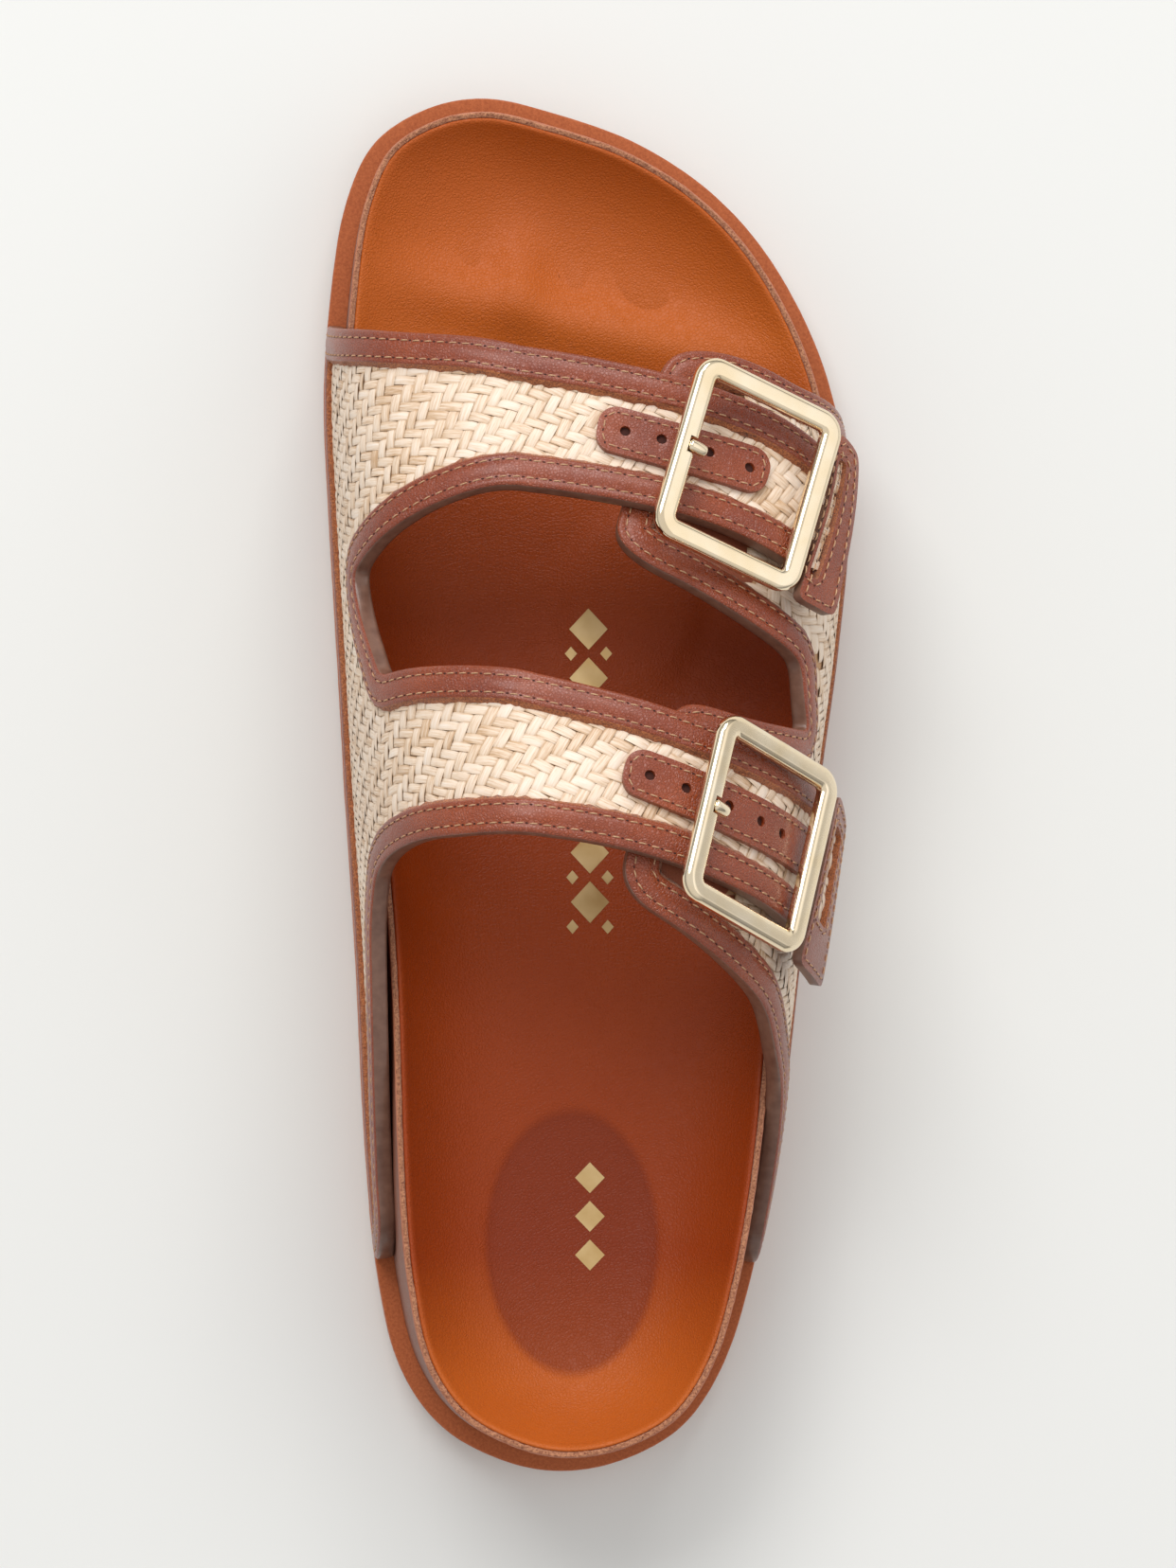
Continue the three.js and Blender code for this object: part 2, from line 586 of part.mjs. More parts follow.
// Cells of one strap. strips: the names of its rear and front border.
function strapCells(around, rows, strips, borderedEnd) {
  const cells = [];
  const at = (row, t) => [mix(row.rear, row.front, t), mix(row.rearRise, row.frontRise, t)];
  for (let i = 0; i < rows.length - 1; i += 1) {
    const here = acrossShares(around, rows, i);
    const there = acrossShares(around, rows, i + 1);
    for (let k = 0; k < here.length - 1; k += 1) {
      const end = borderedEnd && i >= rows.length - 1 - END_ROWS ? "end" : "";
      cells.push({
        corners: [
          at(rows[i], here[k]),
          at(rows[i], here[k + 1]),
          at(rows[i + 1], there[k + 1]),
          at(rows[i + 1], there[k]),
        ],
        border: (k === 0 && strips[0]) || (k === here.length - 2 && strips[1]) || end,
      });
    }
  }
  return cells;
}

// Stations of the band's top line along a tail or a cut-out.
const BAND_STEP = 0.02;
const BORDER_FLOOR = 0.3;
function edgeStations(rows, border) {
  const places = rows.map((row) => row.share);
  const rises = rows.map((row) => row.rise);
  const last = places[places.length - 1];
  const parts = Math.ceil((last - places[0]) / BAND_STEP);
  return Array.from({ length: parts }, (_, i) => {
    const share = mix(places[0], last, i / parts);
    return { share, rise: throughRows(places, rises, share), border, isEdge: true };
  });
}

// Stations of the band under a strap's root. corners: how square the border turns there,
// from 0, where it runs on smoothly, to 1.
function rootStations(around, rows, borders, corners) {
  const shares = acrossShares(around, rows, 0);
  const last = shares.length - 1;
  return shares.map((t, i) => ({
    share: mix(rows[0].rear, rows[0].front, t),
    rise: mix(rows[0].rearRise, rows[0].frontRise, t),
    border: (i === 0 && borders[0]) || (i === last - 1 && borders[1]) || "",
    across: t,
    pull: (i === 1 && (corners[0] - 1) / 2) || (i === last - 1 && (1 - corners[1]) / 2) || 0,
  }));
}

// All cells of one quarter: the band along the ledge and the two straps that leave it.
// A cell is its four corners and the name of the border strip it belongs to, if any.
function quarterCells(quarter) {
  const { around, tail, rearStrap, cutout, frontStrap, frontEdge, corners, steps, borderedEnd } = quarter;
  const rearRows = strapRows(rearStrap, steps);
  const frontRows = strapRows(frontStrap, steps);
  const front = rootStations(around, frontRows, ["window", "front"], [corners.front, 1]);
  front.forEach((station) => {
    station.slant = station.across;
  });
  const stations = [
    ...edgeStations(tail, "rear"),
    ...rootStations(around, rearRows, ["rear", "window"], [corners.rear, 1]).slice(0, -1),
    ...edgeStations(cutout, "window"),
    ...front,
  ];
  const levelsOf = (i) => {
    const station = stations[i];
    const before = stations[Math.max(0, i - 1)];
    const after = stations[Math.min(stations.length - 1, i + 1)];
    const direction = edgeDirection(around, [before.share, before.rise], [after.share, after.rise]);
    const width = BORDER_WIDTH / (station.isEdge ? direction.along : 1);
    const border = Math.max(
      station.rise - width / riseScale(around, station.share, station.rise),
      station.rise * BORDER_FLOOR,
    );
    return [0, border / 2, border, station.rise];
  };
  const corner = (i, level) => {
    const station = stations[i];
    let { share } = station;
    let rise = levelsOf(i)[level];
    if (level === 2 && station.pull) {
      const neighbour = stations[i + Math.sign(station.pull)];
      share = mix(share, neighbour.share, Math.abs(station.pull));
      rise = mix(rise, station.rise, Math.abs(station.pull));
    }
    if (station.slant) {
      const edge = mix(frontEdge.ledge, frontEdge.root, rise / station.rise);
      share += (edge - frontRows[0].front) * station.slant;
    }
    return [share, rise];
  };
  const cells = [];
  for (let i = 0; i < stations.length - 1; i += 1) {
    for (let level = 0; level < 3; level += 1) {
      const isEnd = i === stations.length - 2 || i === 0;
      cells.push({
        corners: [corner(i, level), corner(i + 1, level), corner(i + 1, level + 1), corner(i, level + 1)],
        border: isEnd || level === 2 ? stations[i].border : "",
      });
    }
  }
  cells.push(...strapCells(around, rearRows, ["rear", "window"], borderedEnd));
  cells.push(...strapCells(around, frontRows, ["window", "front"], borderedEnd));
  return cells;
}

const fromInside = (rise) => rise;
const fromOutside = (rise) => 1 - rise;
const MEDIAL_QUARTER = quarterCells({
  around: fromInside,
  tail: MEDIAL_TAIL,
  rearStrap: MEDIAL_REAR_STRAP,
  cutout: MEDIAL_CUTOUT,
  frontStrap: MEDIAL_FRONT_STRAP,
  frontEdge: MEDIAL_FRONT,
  corners: { rear: 0.1, front: 0.3 },
  steps: 18,
  borderedEnd: false,
});
const LATERAL_QUARTER = quarterCells({
  around: fromOutside,
  tail: LATERAL_TAIL,
  rearStrap: LATERAL_REAR_TONGUE,
  cutout: LATERAL_CUTOUT,
  frontStrap: LATERAL_FRONT_TONGUE,
  frontEdge: LATERAL_FRONT,
  corners: { rear: 0.1, front: 0.1 },
  steps: 9,
  borderedEnd: true,
});

const allCorners = (cells) => cells.map((cell) => cell.corners);
const borderCorners = (cells, strips) => cells
  .filter((cell) => strips.includes(cell.border))
  .map((cell) => cell.corners);
const lifted = (offset) => (around) => offset + strapLift(around);
const steady = (offset) => () => offset;

// A strip with round ends along the middle of a strap, in cells.
const PATCH_TIP = 0.3;
function patchCells(strap, patch) {
  const edgeAt = (side, rise) => throughRows(
    strap.map((row) => row[`${side}Rise`]),
    strap.map((row) => row[side]),
    rise,
  );
  const middleAt = (rise) => lastPoint(mix(edgeAt("rear", rise), edgeAt("front", rise), 0.5), rise);
  const span = middleAt(patch.end).distanceTo(middleAt(patch.start));
  const half = PATCH_WIDTH / 2;
  const ends = [0, 0.12, 0.35, 0.7, 1].map((t) => t * half / span);
  const between = [0.25, 0.5, 0.75].map((t) => mix(half / span, 1 - half / span, t));
  const shares = [...ends, ...between, ...ends.map((t) => 1 - t).reverse()];
  const rows = shares.map((t) => {
    const fromEnd = Math.min(t, 1 - t) * span;
    const round = fromEnd >= half ? 1 : Math.sqrt(1 - (1 - fromEnd / half) ** 2);
    const rise = mix(patch.start, patch.end, t);
    const rear = edgeAt("rear", rise);
    const front = edgeAt("front", rise);
    const width = half * Math.max(round, PATCH_TIP) / ((front - rear) * SOLE_LENGTH);
    return [-1, 0, 1].map((k) => [mix(rear, front, 0.5 + k * width), rise]);
  });
  const cells = [];
  for (let i = 0; i < rows.length - 1; i += 1) {
    for (let k = 0; k < 2; k += 1) {
      cells.push([rows[i][k], rows[i][k + 1], rows[i + 1][k + 1], rows[i + 1][k]]);
    }
  }
  return cells;
}

// A four-sided flap on the last, in cells.
function tabCells(tab) {
  const at = (i, k) => {
    const t = i / TAB_STEPS.along;
    const s = k / TAB_STEPS.across;
    const share = mix(mix(tab.near.rear, tab.near.front, t), mix(tab.far.rear, tab.far.front, t), s);
    const rise = mix(
      mix(tab.near.rearRise, tab.near.frontRise, t),
      mix(tab.far.rearRise, tab.far.frontRise, t),
      s,
    );
    return [share, rise];
  };
  const cells = [];
  for (let i = 0; i < TAB_STEPS.along; i += 1) {
    for (let k = 0; k < TAB_STEPS.across; k += 1) {
      cells.push([at(i, k), at(i + 1, k), at(i + 1, k + 1), at(i, k + 1)]);
    }
  }
  return cells;
}

// Rounded square ring of the buckle, lying flat around its own middle.
function frameGeometry() {
  const halfX = FRAME_LENGTH / 2 - FRAME_BAR / 2;
  const halfY = FRAME_WIDTH / 2 - FRAME_BAR / 2;
  const corner = FRAME_CORNER - FRAME_BAR / 2;
  const path = [];
  for (const [quarter, [sx, sy]] of [[1, 1], [-1, 1], [-1, -1], [1, -1]].entries()) {
    for (let i = 0; i <= CORNER_STEPS; i += 1) {
      const angle = (quarter + i / CORNER_STEPS) * Math.PI / 2;
      path.push({
        x: sx * (halfX - corner) + corner * Math.cos(angle),
        y: sy * (halfY - corner) + corner * Math.sin(angle),
        out: angle,
      });
    }
  }
  const points = [];
  for (const station of path) {
    for (let k = 0; k < SECTION_STEPS; k += 1) {
      const angle = (2 * Math.PI * k) / SECTION_STEPS;
      const across = Math.abs(Math.cos(angle)) ** FRAME_SQUARENESS;
      const up = Math.abs(Math.sin(angle)) ** FRAME_SQUARENESS;
      const square = (across + up) ** (-1 / FRAME_SQUARENESS);
      const side = Math.cos(angle) * square * FRAME_BAR / 2;
      points.push(new THREE.Vector3(
        station.x + Math.cos(station.out) * side,
        station.y + Math.sin(station.out) * side,
        Math.sin(angle) * square * FRAME_DEPTH / 2,
      ));
    }
  }
  const faces = [];
  for (let i = 0; i < path.length; i += 1) {
    for (let k = 0; k < SECTION_STEPS; k += 1) {
      const a = i * SECTION_STEPS + k;
      const b = i * SECTION_STEPS + (k + 1) % SECTION_STEPS;
      const c = ((i + 1) % path.length) * SECTION_STEPS + k;
      const d = ((i + 1) % path.length) * SECTION_STEPS + (k + 1) % SECTION_STEPS;
      faces.push([a, b, c], [b, d, c]);
    }
  }
  return closedGeometry(points, faces);
}

// Prong: over the buckle's inner bar and down into the hole beside it.
function prongGeometry() {
  const bar = -FRAME_LENGTH / 2 + FRAME_BAR / 2;
  const over = FRAME_DEPTH / 2 + PRONG_WIDTH / 2 + GAP;
  const path = new THREE.CatmullRomCurve3([
    new THREE.Vector3(bar, 0, over),
    new THREE.Vector3(bar + FRAME_BAR * 0.45, 0, over),
    new THREE.Vector3(bar + FRAME_BAR * 0.9, 0, over * 0.72),
    new THREE.Vector3(bar + FRAME_BAR * 1.15, 0, over * 0.35),
  ]);
  const section = new THREE.Shape();
  section.absarc(0, 0, PRONG_WIDTH / 2, 0, 2 * Math.PI, false);
  const geometry = new THREE.ExtrudeGeometry(section, {
    extrudePath: path,
    steps: 5,
    curveSegments: 8,
    bevelEnabled: false,
  });
  geometry.deleteAttribute("normal");
  geometry.deleteAttribute("uv");
  return mergeVertices(geometry, 1e-4);
}

// Group that carries a buckle's pieces in its own tilted plane.
function buckleGroup(frame) {
  const group = new THREE.Group();
  const turn = THREE.MathUtils.degToRad(frame.turn);
  const fall = THREE.MathUtils.degToRad(frame.fall);
  const bank = THREE.MathUtils.degToRad(frame.bank);
  const along = new THREE.Vector3(
    Math.cos(turn) * Math.cos(fall),
    Math.sin(turn) * Math.cos(fall),
    -Math.sin(fall),
  );
  const level = new THREE.Vector3(-Math.sin(turn), Math.cos(turn), 0);
  const upright = new THREE.Vector3().crossVectors(along, level);
  const across = level.multiplyScalar(Math.cos(bank)).addScaledVector(upright, Math.sin(bank));
  const normal = new THREE.Vector3().crossVectors(along, across);
  const basis = new THREE.Matrix4().makeBasis(along, across, normal);
  group.setRotationFromMatrix(basis);
  group.position.copy(surfacePoint(frame.share, frame.rise, frame.lift));
  return group;
}

const LEATHER = { color: "#8f4a30", roughness: 0.5, metalness: 0 };
const MATERIALS = {
  outsole: { color: "#a9582c", roughness: 0.8, metalness: 0 },
  midsole: { color: "#9c4c24", roughness: 0.7, metalness: 0 },
  footbed: { color: "#b8734f", roughness: 0.6, metalness: 0 },
  lining: { color: "#b5562a", roughness: 0.45, metalness: 0 },
  raffia: { color: "#e0c595", roughness: 0.6, metalness: 0 },
  border: LEATHER,
  patch: LEATHER,
  tab: LEATHER,
  gold: { color: "#e8d9b0", roughness: 0.18, metalness: 1 },
};

const sandal = new THREE.Group();

function addPiece(name, geometry, finish, parent = sandal) {
  const mesh = new THREE.Mesh(geometry, new THREE.MeshStandardMaterial(MATERIALS[finish]));
  mesh.name = name;
  parent.add(mesh);
}

addPiece("outsole", soleLayer(0, OUTSOLE_THICKNESS, EDGE_BEVEL), "outsole");
addPiece("midsole", soleLayer(OUTSOLE_THICKNESS + GAP, LEDGE_TOP, EDGE_BEVEL / 2), "midsole");
addPiece("footbed", footbedGeometry(), "footbed");
addPiece("insole", insoleGeometry(), "lining");

addPiece(
  "upper_medial",
  shell(allCorners(MEDIAL_QUARTER), fromInside, lifted(QUARTER_INNER), lifted(QUARTER_OUTER)),
  "raffia",
);
for (const strip of ["rear", "window", "front"]) {
  addPiece(
    `border_medial_${strip}`,
    shell(borderCorners(MEDIAL_QUARTER, [strip]), fromInside, lifted(BORDER_INNER), lifted(BORDER_OUTER)),
    "border",
  );
}
addPiece(
  "upper_lateral",
  shell(allCorners(LATERAL_QUARTER), fromOutside, steady(QUARTER_INNER), steady(QUARTER_OUTER)),
  "raffia",
);
addPiece(
  "border_lateral",
  shell(
    borderCorners(LATERAL_QUARTER, ["rear", "window", "front", "end"]),
    fromOutside,
    steady(BORDER_INNER),
    steady(BORDER_OUTER),
  ),
  "border",
);

const PATCH_INNER = QUARTER_OUTER + GAP;
const PATCH_OUTER = PATCH_INNER + PATCH_WALL;
const TAB_INNER = BORDER_OUTER + GAP;
const TAB_OUTER = TAB_INNER + TAB_WALL;
for (const [place, strap] of [["front", MEDIAL_FRONT_STRAP], ["rear", MEDIAL_REAR_STRAP]]) {
  addPiece(
    `hole_patch_${place}`,
    shell(patchCells(strap, PATCHES[place]), fromInside, lifted(PATCH_INNER), lifted(PATCH_OUTER)),
    "patch",
  );
  addPiece(
    `buckle_tab_${place}`,
    shell(tabCells(TABS[place]), fromInside, lifted(TAB_INNER), lifted(TAB_OUTER)),
    "tab",
  );
  const buckle = buckleGroup(FRAMES[place]);
  sandal.add(buckle);
  addPiece(`buckle_frame_${place}`, frameGeometry(), "gold", buckle);
  addPiece(`buckle_prong_${place}`, prongGeometry(), "gold", buckle);
}

export default sandal;
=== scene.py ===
"""Looks of a two-strap raffia sandal, right foot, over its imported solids.

Sizes in the tables are millimetres or shares, as in the solids' own source. The wall's lean, the
cup's power and the toe ridge are fitted closer to the photo than there. A point of the upper is
named by its share along the sole and its rise around the last.
"""

import math

import bmesh
import bpy
import numpy as np
from mathutils import Matrix, Vector
from mathutils.geometry import delaunay_2d_cdt


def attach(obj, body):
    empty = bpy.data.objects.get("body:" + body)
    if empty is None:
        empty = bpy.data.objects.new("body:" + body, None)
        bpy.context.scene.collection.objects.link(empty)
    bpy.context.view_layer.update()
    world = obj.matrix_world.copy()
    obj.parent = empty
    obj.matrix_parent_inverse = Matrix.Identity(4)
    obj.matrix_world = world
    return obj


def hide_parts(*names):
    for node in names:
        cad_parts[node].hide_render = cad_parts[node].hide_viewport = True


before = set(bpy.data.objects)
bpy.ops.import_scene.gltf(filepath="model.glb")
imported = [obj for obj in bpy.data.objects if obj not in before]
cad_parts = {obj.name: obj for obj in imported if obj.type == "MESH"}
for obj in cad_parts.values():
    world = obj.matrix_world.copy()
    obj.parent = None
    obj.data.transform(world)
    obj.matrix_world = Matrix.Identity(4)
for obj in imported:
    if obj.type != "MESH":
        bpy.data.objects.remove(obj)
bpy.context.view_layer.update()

MM = 0.001

# Sole
SOLE_LENGTH = 252.0
BALL_WIDTH = 95.7
OUTSOLE_THICKNESS = 4.8
MIDSOLE_THICKNESS = 3.4
TOE_SPRING = 5.0
SPRING_START = 0.76
EDGE_BEVEL = 0.7

# Footbed
RIM_HEIGHT = 41.0
RIM_WRAP = 1.4
WALL_LEAN = 2.3
WAIST_LEAN = 0.5
WAIST_RISE = 0.55
CUP_POWER = 4.4
SPINE_END = 0.13
RIM_BLEND = 3
RIM_SPRING = 0.2
# How far under the cup's surface the wrap and the lining are closed
WRAP_UNDER = 4.0
LINING_UNDER = 3.0

# Low forms of the cup: the shallow oval dish at the heel, the grip ridge with its fork between the
# toes, the hollow before it and the pad under the ball. The dish's colour is painted shade, darker
# than the cup around it
HEEL_DISH = {
    "x": -3.3, "share": 0.168, "half_x": 15.6, "half_y": 23.8, "depth": 0.35, "colour": "#76290d",
}
TOE_RIDGE = {"height": 3.3, "share": 0.842, "slant": 0.0009, "middle": -10.0, "width": 0.026}
TOE_FORK = {"x": -12.5, "half": 5.0, "share": 0.87, "length": 0.032, "height": 2.2}
TOE_HOLLOW = {"from": 0.74, "to": 0.87, "depth": 2.6}
BALL_PAD = {"x": 8.0, "share": 0.63, "half_x": 13.0, "half_y": 17.0, "height": 0.9}

# Upper
INSTEP_HEIGHT = 82.0
EDGE_SETBACK = 0.8
RAFFIA_WALL = 1.7
BORDER_WALL = 1.1
BORDER_WIDTH = 6.0
BORDER_PROUD = 0.8
GAP = 0.3
QUARTER_INNER = BORDER_PROUD - BORDER_WALL - GAP - RAFFIA_WALL
QUARTER_OUTER = QUARTER_INNER + RAFFIA_WALL
STRAP_LIFT = BORDER_PROUD + GAP - QUARTER_INNER
LIFT_FROM = 0.3
LIFT_TO = 0.5
LEDGE = EDGE_SETBACK - QUARTER_INNER + GAP
LEDGE_TOP = OUTSOLE_THICKNESS + GAP + MIDSOLE_THICKNESS

# Fittings
FRAME_WIDTH = 35.0
FRAME_LENGTH = 31.4
FRAME_BAR = 4.0
FRAME_DEPTH = 2.8
FRAME_CORNER = 4.6
PATCH_WIDTH = 8.8
PATCH_WALL = 1.1
TAB_WALL = 1.6
PRONG_WIDTH = 2.4

# Sole outline: share along the sole, medial and lateral half width
SOLE_OUTLINE = np.array([
    (0.0, -0.047, -0.047),
    (0.008, -0.16, 0.072),
    (0.03, -0.268, 0.178),
    (0.075, -0.355, 0.262),
    (0.14, -0.398, 0.318),
    (0.24, -0.424, 0.37),
    (0.38, -0.443, 0.414),
    (0.5, -0.464, 0.45),
    (0.6, -0.479, 0.486),
    (0.7, -0.495, 0.506),
    (0.78, -0.504, 0.481),
    (0.86, -0.491, 0.397),
    (0.925, -0.462, 0.266),
    (0.97, -0.402, 0.088),
    (0.992, -0.31, -0.085),
    (1.0, -0.202, -0.202),
])

# Footbed: share, cup, medial rim, lateral rim, lean of the side wall
FOOTBED_PROFILE = np.array([
    (0.0, 0.66, 1.0, 1.0, 0.4),
    (0.1, 0.59, 1.0, 1.0, 0.42),
    (0.2, 0.57, 0.97, 0.95, 0.66),
    (0.3, 0.59, 0.94, 0.87, 0.95),
    (0.42, 0.575, 0.94, 0.79, 0.9),
    (0.52, 0.5, 0.86, 0.72, 0.6),
    (0.62, 0.42, 0.71, 0.64, 0.3),
    (0.72, 0.375, 0.6, 0.57, 0.2),
    (0.82, 0.37, 0.53, 0.52, 0.12),
    (0.92, 0.38, 0.5, 0.5, 0.06),
    (1.0, 0.43, 0.5, 0.5, 0.06),
])

# The last: share, ridge, height, medial power, lateral power
LAST_SECTIONS = np.array([
    (0.05, -0.05, 0.5, 2.5, 2.6),
    (0.15, -0.06, 0.62, 2.5, 2.6),
    (0.25, -0.08, 0.8, 2.6, 2.7),
    (0.35, -0.1, 0.95, 2.7, 2.8),
    (0.45, -0.11, 0.965, 2.7, 2.7),
    (0.55, -0.12, 0.87, 2.8, 2.7),
    (0.65, -0.13, 0.755, 2.9, 2.8),
    (0.75, -0.14, 0.655, 3.0, 2.9),
    (0.85, -0.15, 0.57, 3.0, 2.8),
    (0.92, -0.16, 0.52, 3.0, 2.8),
])

# Top lines of the quarters: share, rise
MEDIAL_TAIL = np.array([
    (0.155, 0.06), (0.166, 0.092), (0.215, 0.12), (0.287, 0.139), (0.35, 0.15), (0.4, 0.165), (0.43, 0.19),
])
MEDIAL_CUTOUT = np.array([(0.568, 0.235), (0.581, 0.226), (0.605, 0.204), (0.625, 0.19), (0.645, 0.185)])
LATERAL_TAIL = np.array([
    (0.152, 0.05), (0.165, 0.082), (0.21, 0.118), (0.245, 0.138), (0.282, 0.168), (0.303, 0.198),
])
LATERAL_CUTOUT = np.array([(0.531, 0.192), (0.548, 0.206), (0.564, 0.214), (0.58, 0.222)])

# Straps and tongues from root to end: rear rise, rear, front rise, front
MEDIAL_REAR_STRAP = np.array([
    (0.19, 0.43, 0.235, 0.568),
    (0.228, 0.4425, 0.268, 0.571),
    (0.29, 0.452, 0.318, 0.573),
    (0.355, 0.4545, 0.375, 0.5715),
    (0.42, 0.455, 0.43, 0.568),
    (0.487, 0.453, 0.487, 0.563),
    (0.545, 0.448, 0.545, 0.554),
    (0.6, 0.44, 0.6, 0.5435),
    (0.66, 0.4265, 0.66, 0.529),
    (0.72, 0.41, 0.72, 0.5145),
    (0.78, 0.3905, 0.78, 0.5005),
    (0.83, 0.372, 0.83, 0.488),
])
MEDIAL_FRONT_STRAP = np.array([
    (0.185, 0.645, 0.185, 0.822),
    (0.22, 0.656, 0.22, 0.82),
    (0.26, 0.668, 0.26, 0.8175),
    (0.3, 0.6785, 0.3, 0.815),
    (0.35, 0.6885, 0.35, 0.812),
    (0.42, 0.6965, 0.42, 0.807),
    (0.48, 0.6975, 0.48, 0.8005),
    (0.55, 0.691, 0.55, 0.7925),
    (0.61, 0.6825, 0.61, 0.783),
    (0.66, 0.672, 0.66, 0.773),
    (0.71, 0.6565, 0.71, 0.7585),
    (0.75, 0.6415, 0.75, 0.7435),
    (0.785, 0.627, 0.785, 0.728),
])
LATERAL_REAR_TONGUE = np.array([
    (0.198, 0.303, 0.192, 0.531),
    (0.236, 0.335, 0.235, 0.533),
    (0.265, 0.35, 0.265, 0.535),
    (0.298, 0.365, 0.298, 0.539),
    (0.336, 0.382, 0.326, 0.544),
    (0.37, 0.396, 0.346, 0.547),
    (0.398, 0.407, 0.36, 0.5455),
    (0.413, 0.4195, 0.367, 0.541),
    (0.418, 0.431, 0.372, 0.534),
])
LATERAL_FRONT_TONGUE = np.array([
    (0.222, 0.58, 0.222, 0.779),
    (0.247, 0.59, 0.245, 0.786),
    (0.28, 0.602, 0.28, 0.796),
    (0.318, 0.617, 0.31, 0.801),
    (0.354, 0.632, 0.338, 0.8015),
    (0.385, 0.6435, 0.354, 0.798),
    (0.408, 0.655, 0.363, 0.792),
    (0.422, 0.668, 0.37, 0.783),
])
MEDIAL_FRONT_FOOT = 0.834
LATERAL_FRONT_FOOT = 0.752

PATCHES = {"front": (0.566, 0.712), "rear": (0.58, 0.792)}
# Flaps: share and rise of the corners, near rear, near front, far front, far rear
TABS = {
    "front": np.array([(0.62, 0.735), (0.742, 0.79), (0.728, 0.82), (0.61, 0.782)]),
    "rear": np.array([(0.37, 0.765), (0.489, 0.825), (0.468, 0.872), (0.352, 0.82)]),
}
FRAMES = {
    "front": {"share": 0.702, "rise": 0.686, "lift": 7.6, "turn": -23.0, "fall": 24.0, "bank": -14.5},
    "rear": {"share": 0.4545, "rise": 0.711, "lift": 5.0, "turn": -27.4, "fall": 38.4, "bank": -20.5},
}

# Weave and thread
ROW_PITCH = 2.0
COLUMN_PITCH = 1.62
RAFFIA_RELIEF = 0.32
STRIP_TUCK = 0.42
LONGEST_STRIP = 3.6 * ROW_PITCH
STRIP_ALONG = 7
STRIP_ACROSS = 5
CLOTH_ROWS = (-16, 92)
CLOTH_TURN = math.radians(10)
STITCH_PITCH = 2.4
STITCH_LENGTH = 1.6
STITCH_WIDTH = 0.3
OUTER_STITCH = 1.5
INNER_STITCH = 4.8


def mix(a, b, t):
    return a + (b - a) * t


def lengths_along(points):
    """Length up to each point of a line."""
    return np.concatenate([[0], np.cumsum(np.linalg.norm(np.diff(points, axis=0), axis=1))])


def points_at(at, lengths, line):
    """Points of a line at lengths along it."""
    return np.stack([np.interp(at, lengths, column) for column in line.T], axis=-1)


def unit_rows(vectors):
    return vectors / np.linalg.norm(vectors, axis=1, keepdims=True)


def through_rows(places, values, place):
    """Smooth curve through the rows of a table."""
    places = np.asarray(places, float)
    values = np.asarray(values, float)
    gaps = np.diff(places)
    rises = np.diff(values) / gaps
    slopes = np.empty_like(values)
    slopes[0], slopes[-1] = rises[0], rises[-1]
    slopes[1:-1] = (rises[:-1] * gaps[1:] + rises[1:] * gaps[:-1]) / (gaps[:-1] + gaps[1:])
    i = np.clip(np.searchsorted(places, place) - 1, 0, len(gaps) - 1)
    t = (place - places[i]) / gaps[i]
    t2 = t * t
    t3 = t2 * t
    return (
        (2 * t3 - 3 * t2 + 1) * values[i]
        + (t3 - 2 * t2 + t) * slopes[i] * gaps[i]
        + (3 * t2 - 2 * t3) * values[i + 1]
        + (t3 - t2) * slopes[i + 1] * gaps[i]
    )


def smooth_step(value, low, high):
    """0 below low and 1 above high, with a smooth rise between them."""
    t = np.clip((value - low) / (high - low), 0, 1)
    return t * t * (3 - 2 * t)


def share_of(y):
    return y / SOLE_LENGTH + 0.5


def underside(share):
    """Height of the sole's underside over the floor."""
    return TOE_SPRING * np.maximum(0, (share - SPRING_START) / (1 - SPRING_START)) ** 2


# The outline is walked by one turn: 0 at the heel, the outer side positive, PI at the toe.
ROW_TURNS = np.arccos(1 - 2 * SOLE_OUTLINE[:, 0])
OUTLINE_TURNS = np.concatenate([
    [ROW_TURNS[-2] - 2 * np.pi], -ROW_TURNS[:0:-1], ROW_TURNS, [2 * np.pi - ROW_TURNS[-2]],
])
OUTLINE_SIDES = BALL_WIDTH * np.concatenate([
    SOLE_OUTLINE[-2:-1, 2], SOLE_OUTLINE[:0:-1, 1], SOLE_OUTLINE[:, 2], SOLE_OUTLINE[-2:-1, 1],
])


def side_at(turn):
    return through_rows(OUTLINE_TURNS, OUTLINE_SIDES, turn)


def along_at(turn):
    return -np.cos(turn) * SOLE_LENGTH / 2


def outline_point(turn, inset):
    """Point of the sole's outline, moved in by the inset."""
    step = 0.001
    dx = side_at(turn + step) - side_at(turn - step)
    dy = along_at(turn + step) - along_at(turn - step)
    size = np.hypot(dx, dy)
    return side_at(turn) - inset * dy / size, along_at(turn) + inset * dx / size


def spine_point(turn):
    """Point of the footbed's middle line."""
    share = mix(SPINE_END, 1 - SPINE_END, (1 - np.cos(turn)) / 2)
    row_turn = np.arccos(1 - 2 * share)
    return (side_at(row_turn) + side_at(-row_turn)) / 2, (share - 0.5) * SOLE_LENGTH


def turns(count):
    return -np.pi + 2 * np.pi * np.arange(count) / count


def ring(turn, inset, reach, height_at):
    """One ring at a share of the way from the middle line to the outline."""
    edge_x, edge_y = outline_point(turn, inset)
    spine_x, spine_y = spine_point(turn)
    x = mix(spine_x, edge_x, reach)
    y = mix(spine_y, edge_y, reach)
    return np.column_stack([x, y, height_at(x, y, turn, reach)])


def footbed_column(column, share):
    return through_rows(FOOTBED_PROFILE[:, 0], FOOTBED_PROFILE[:, column], share)


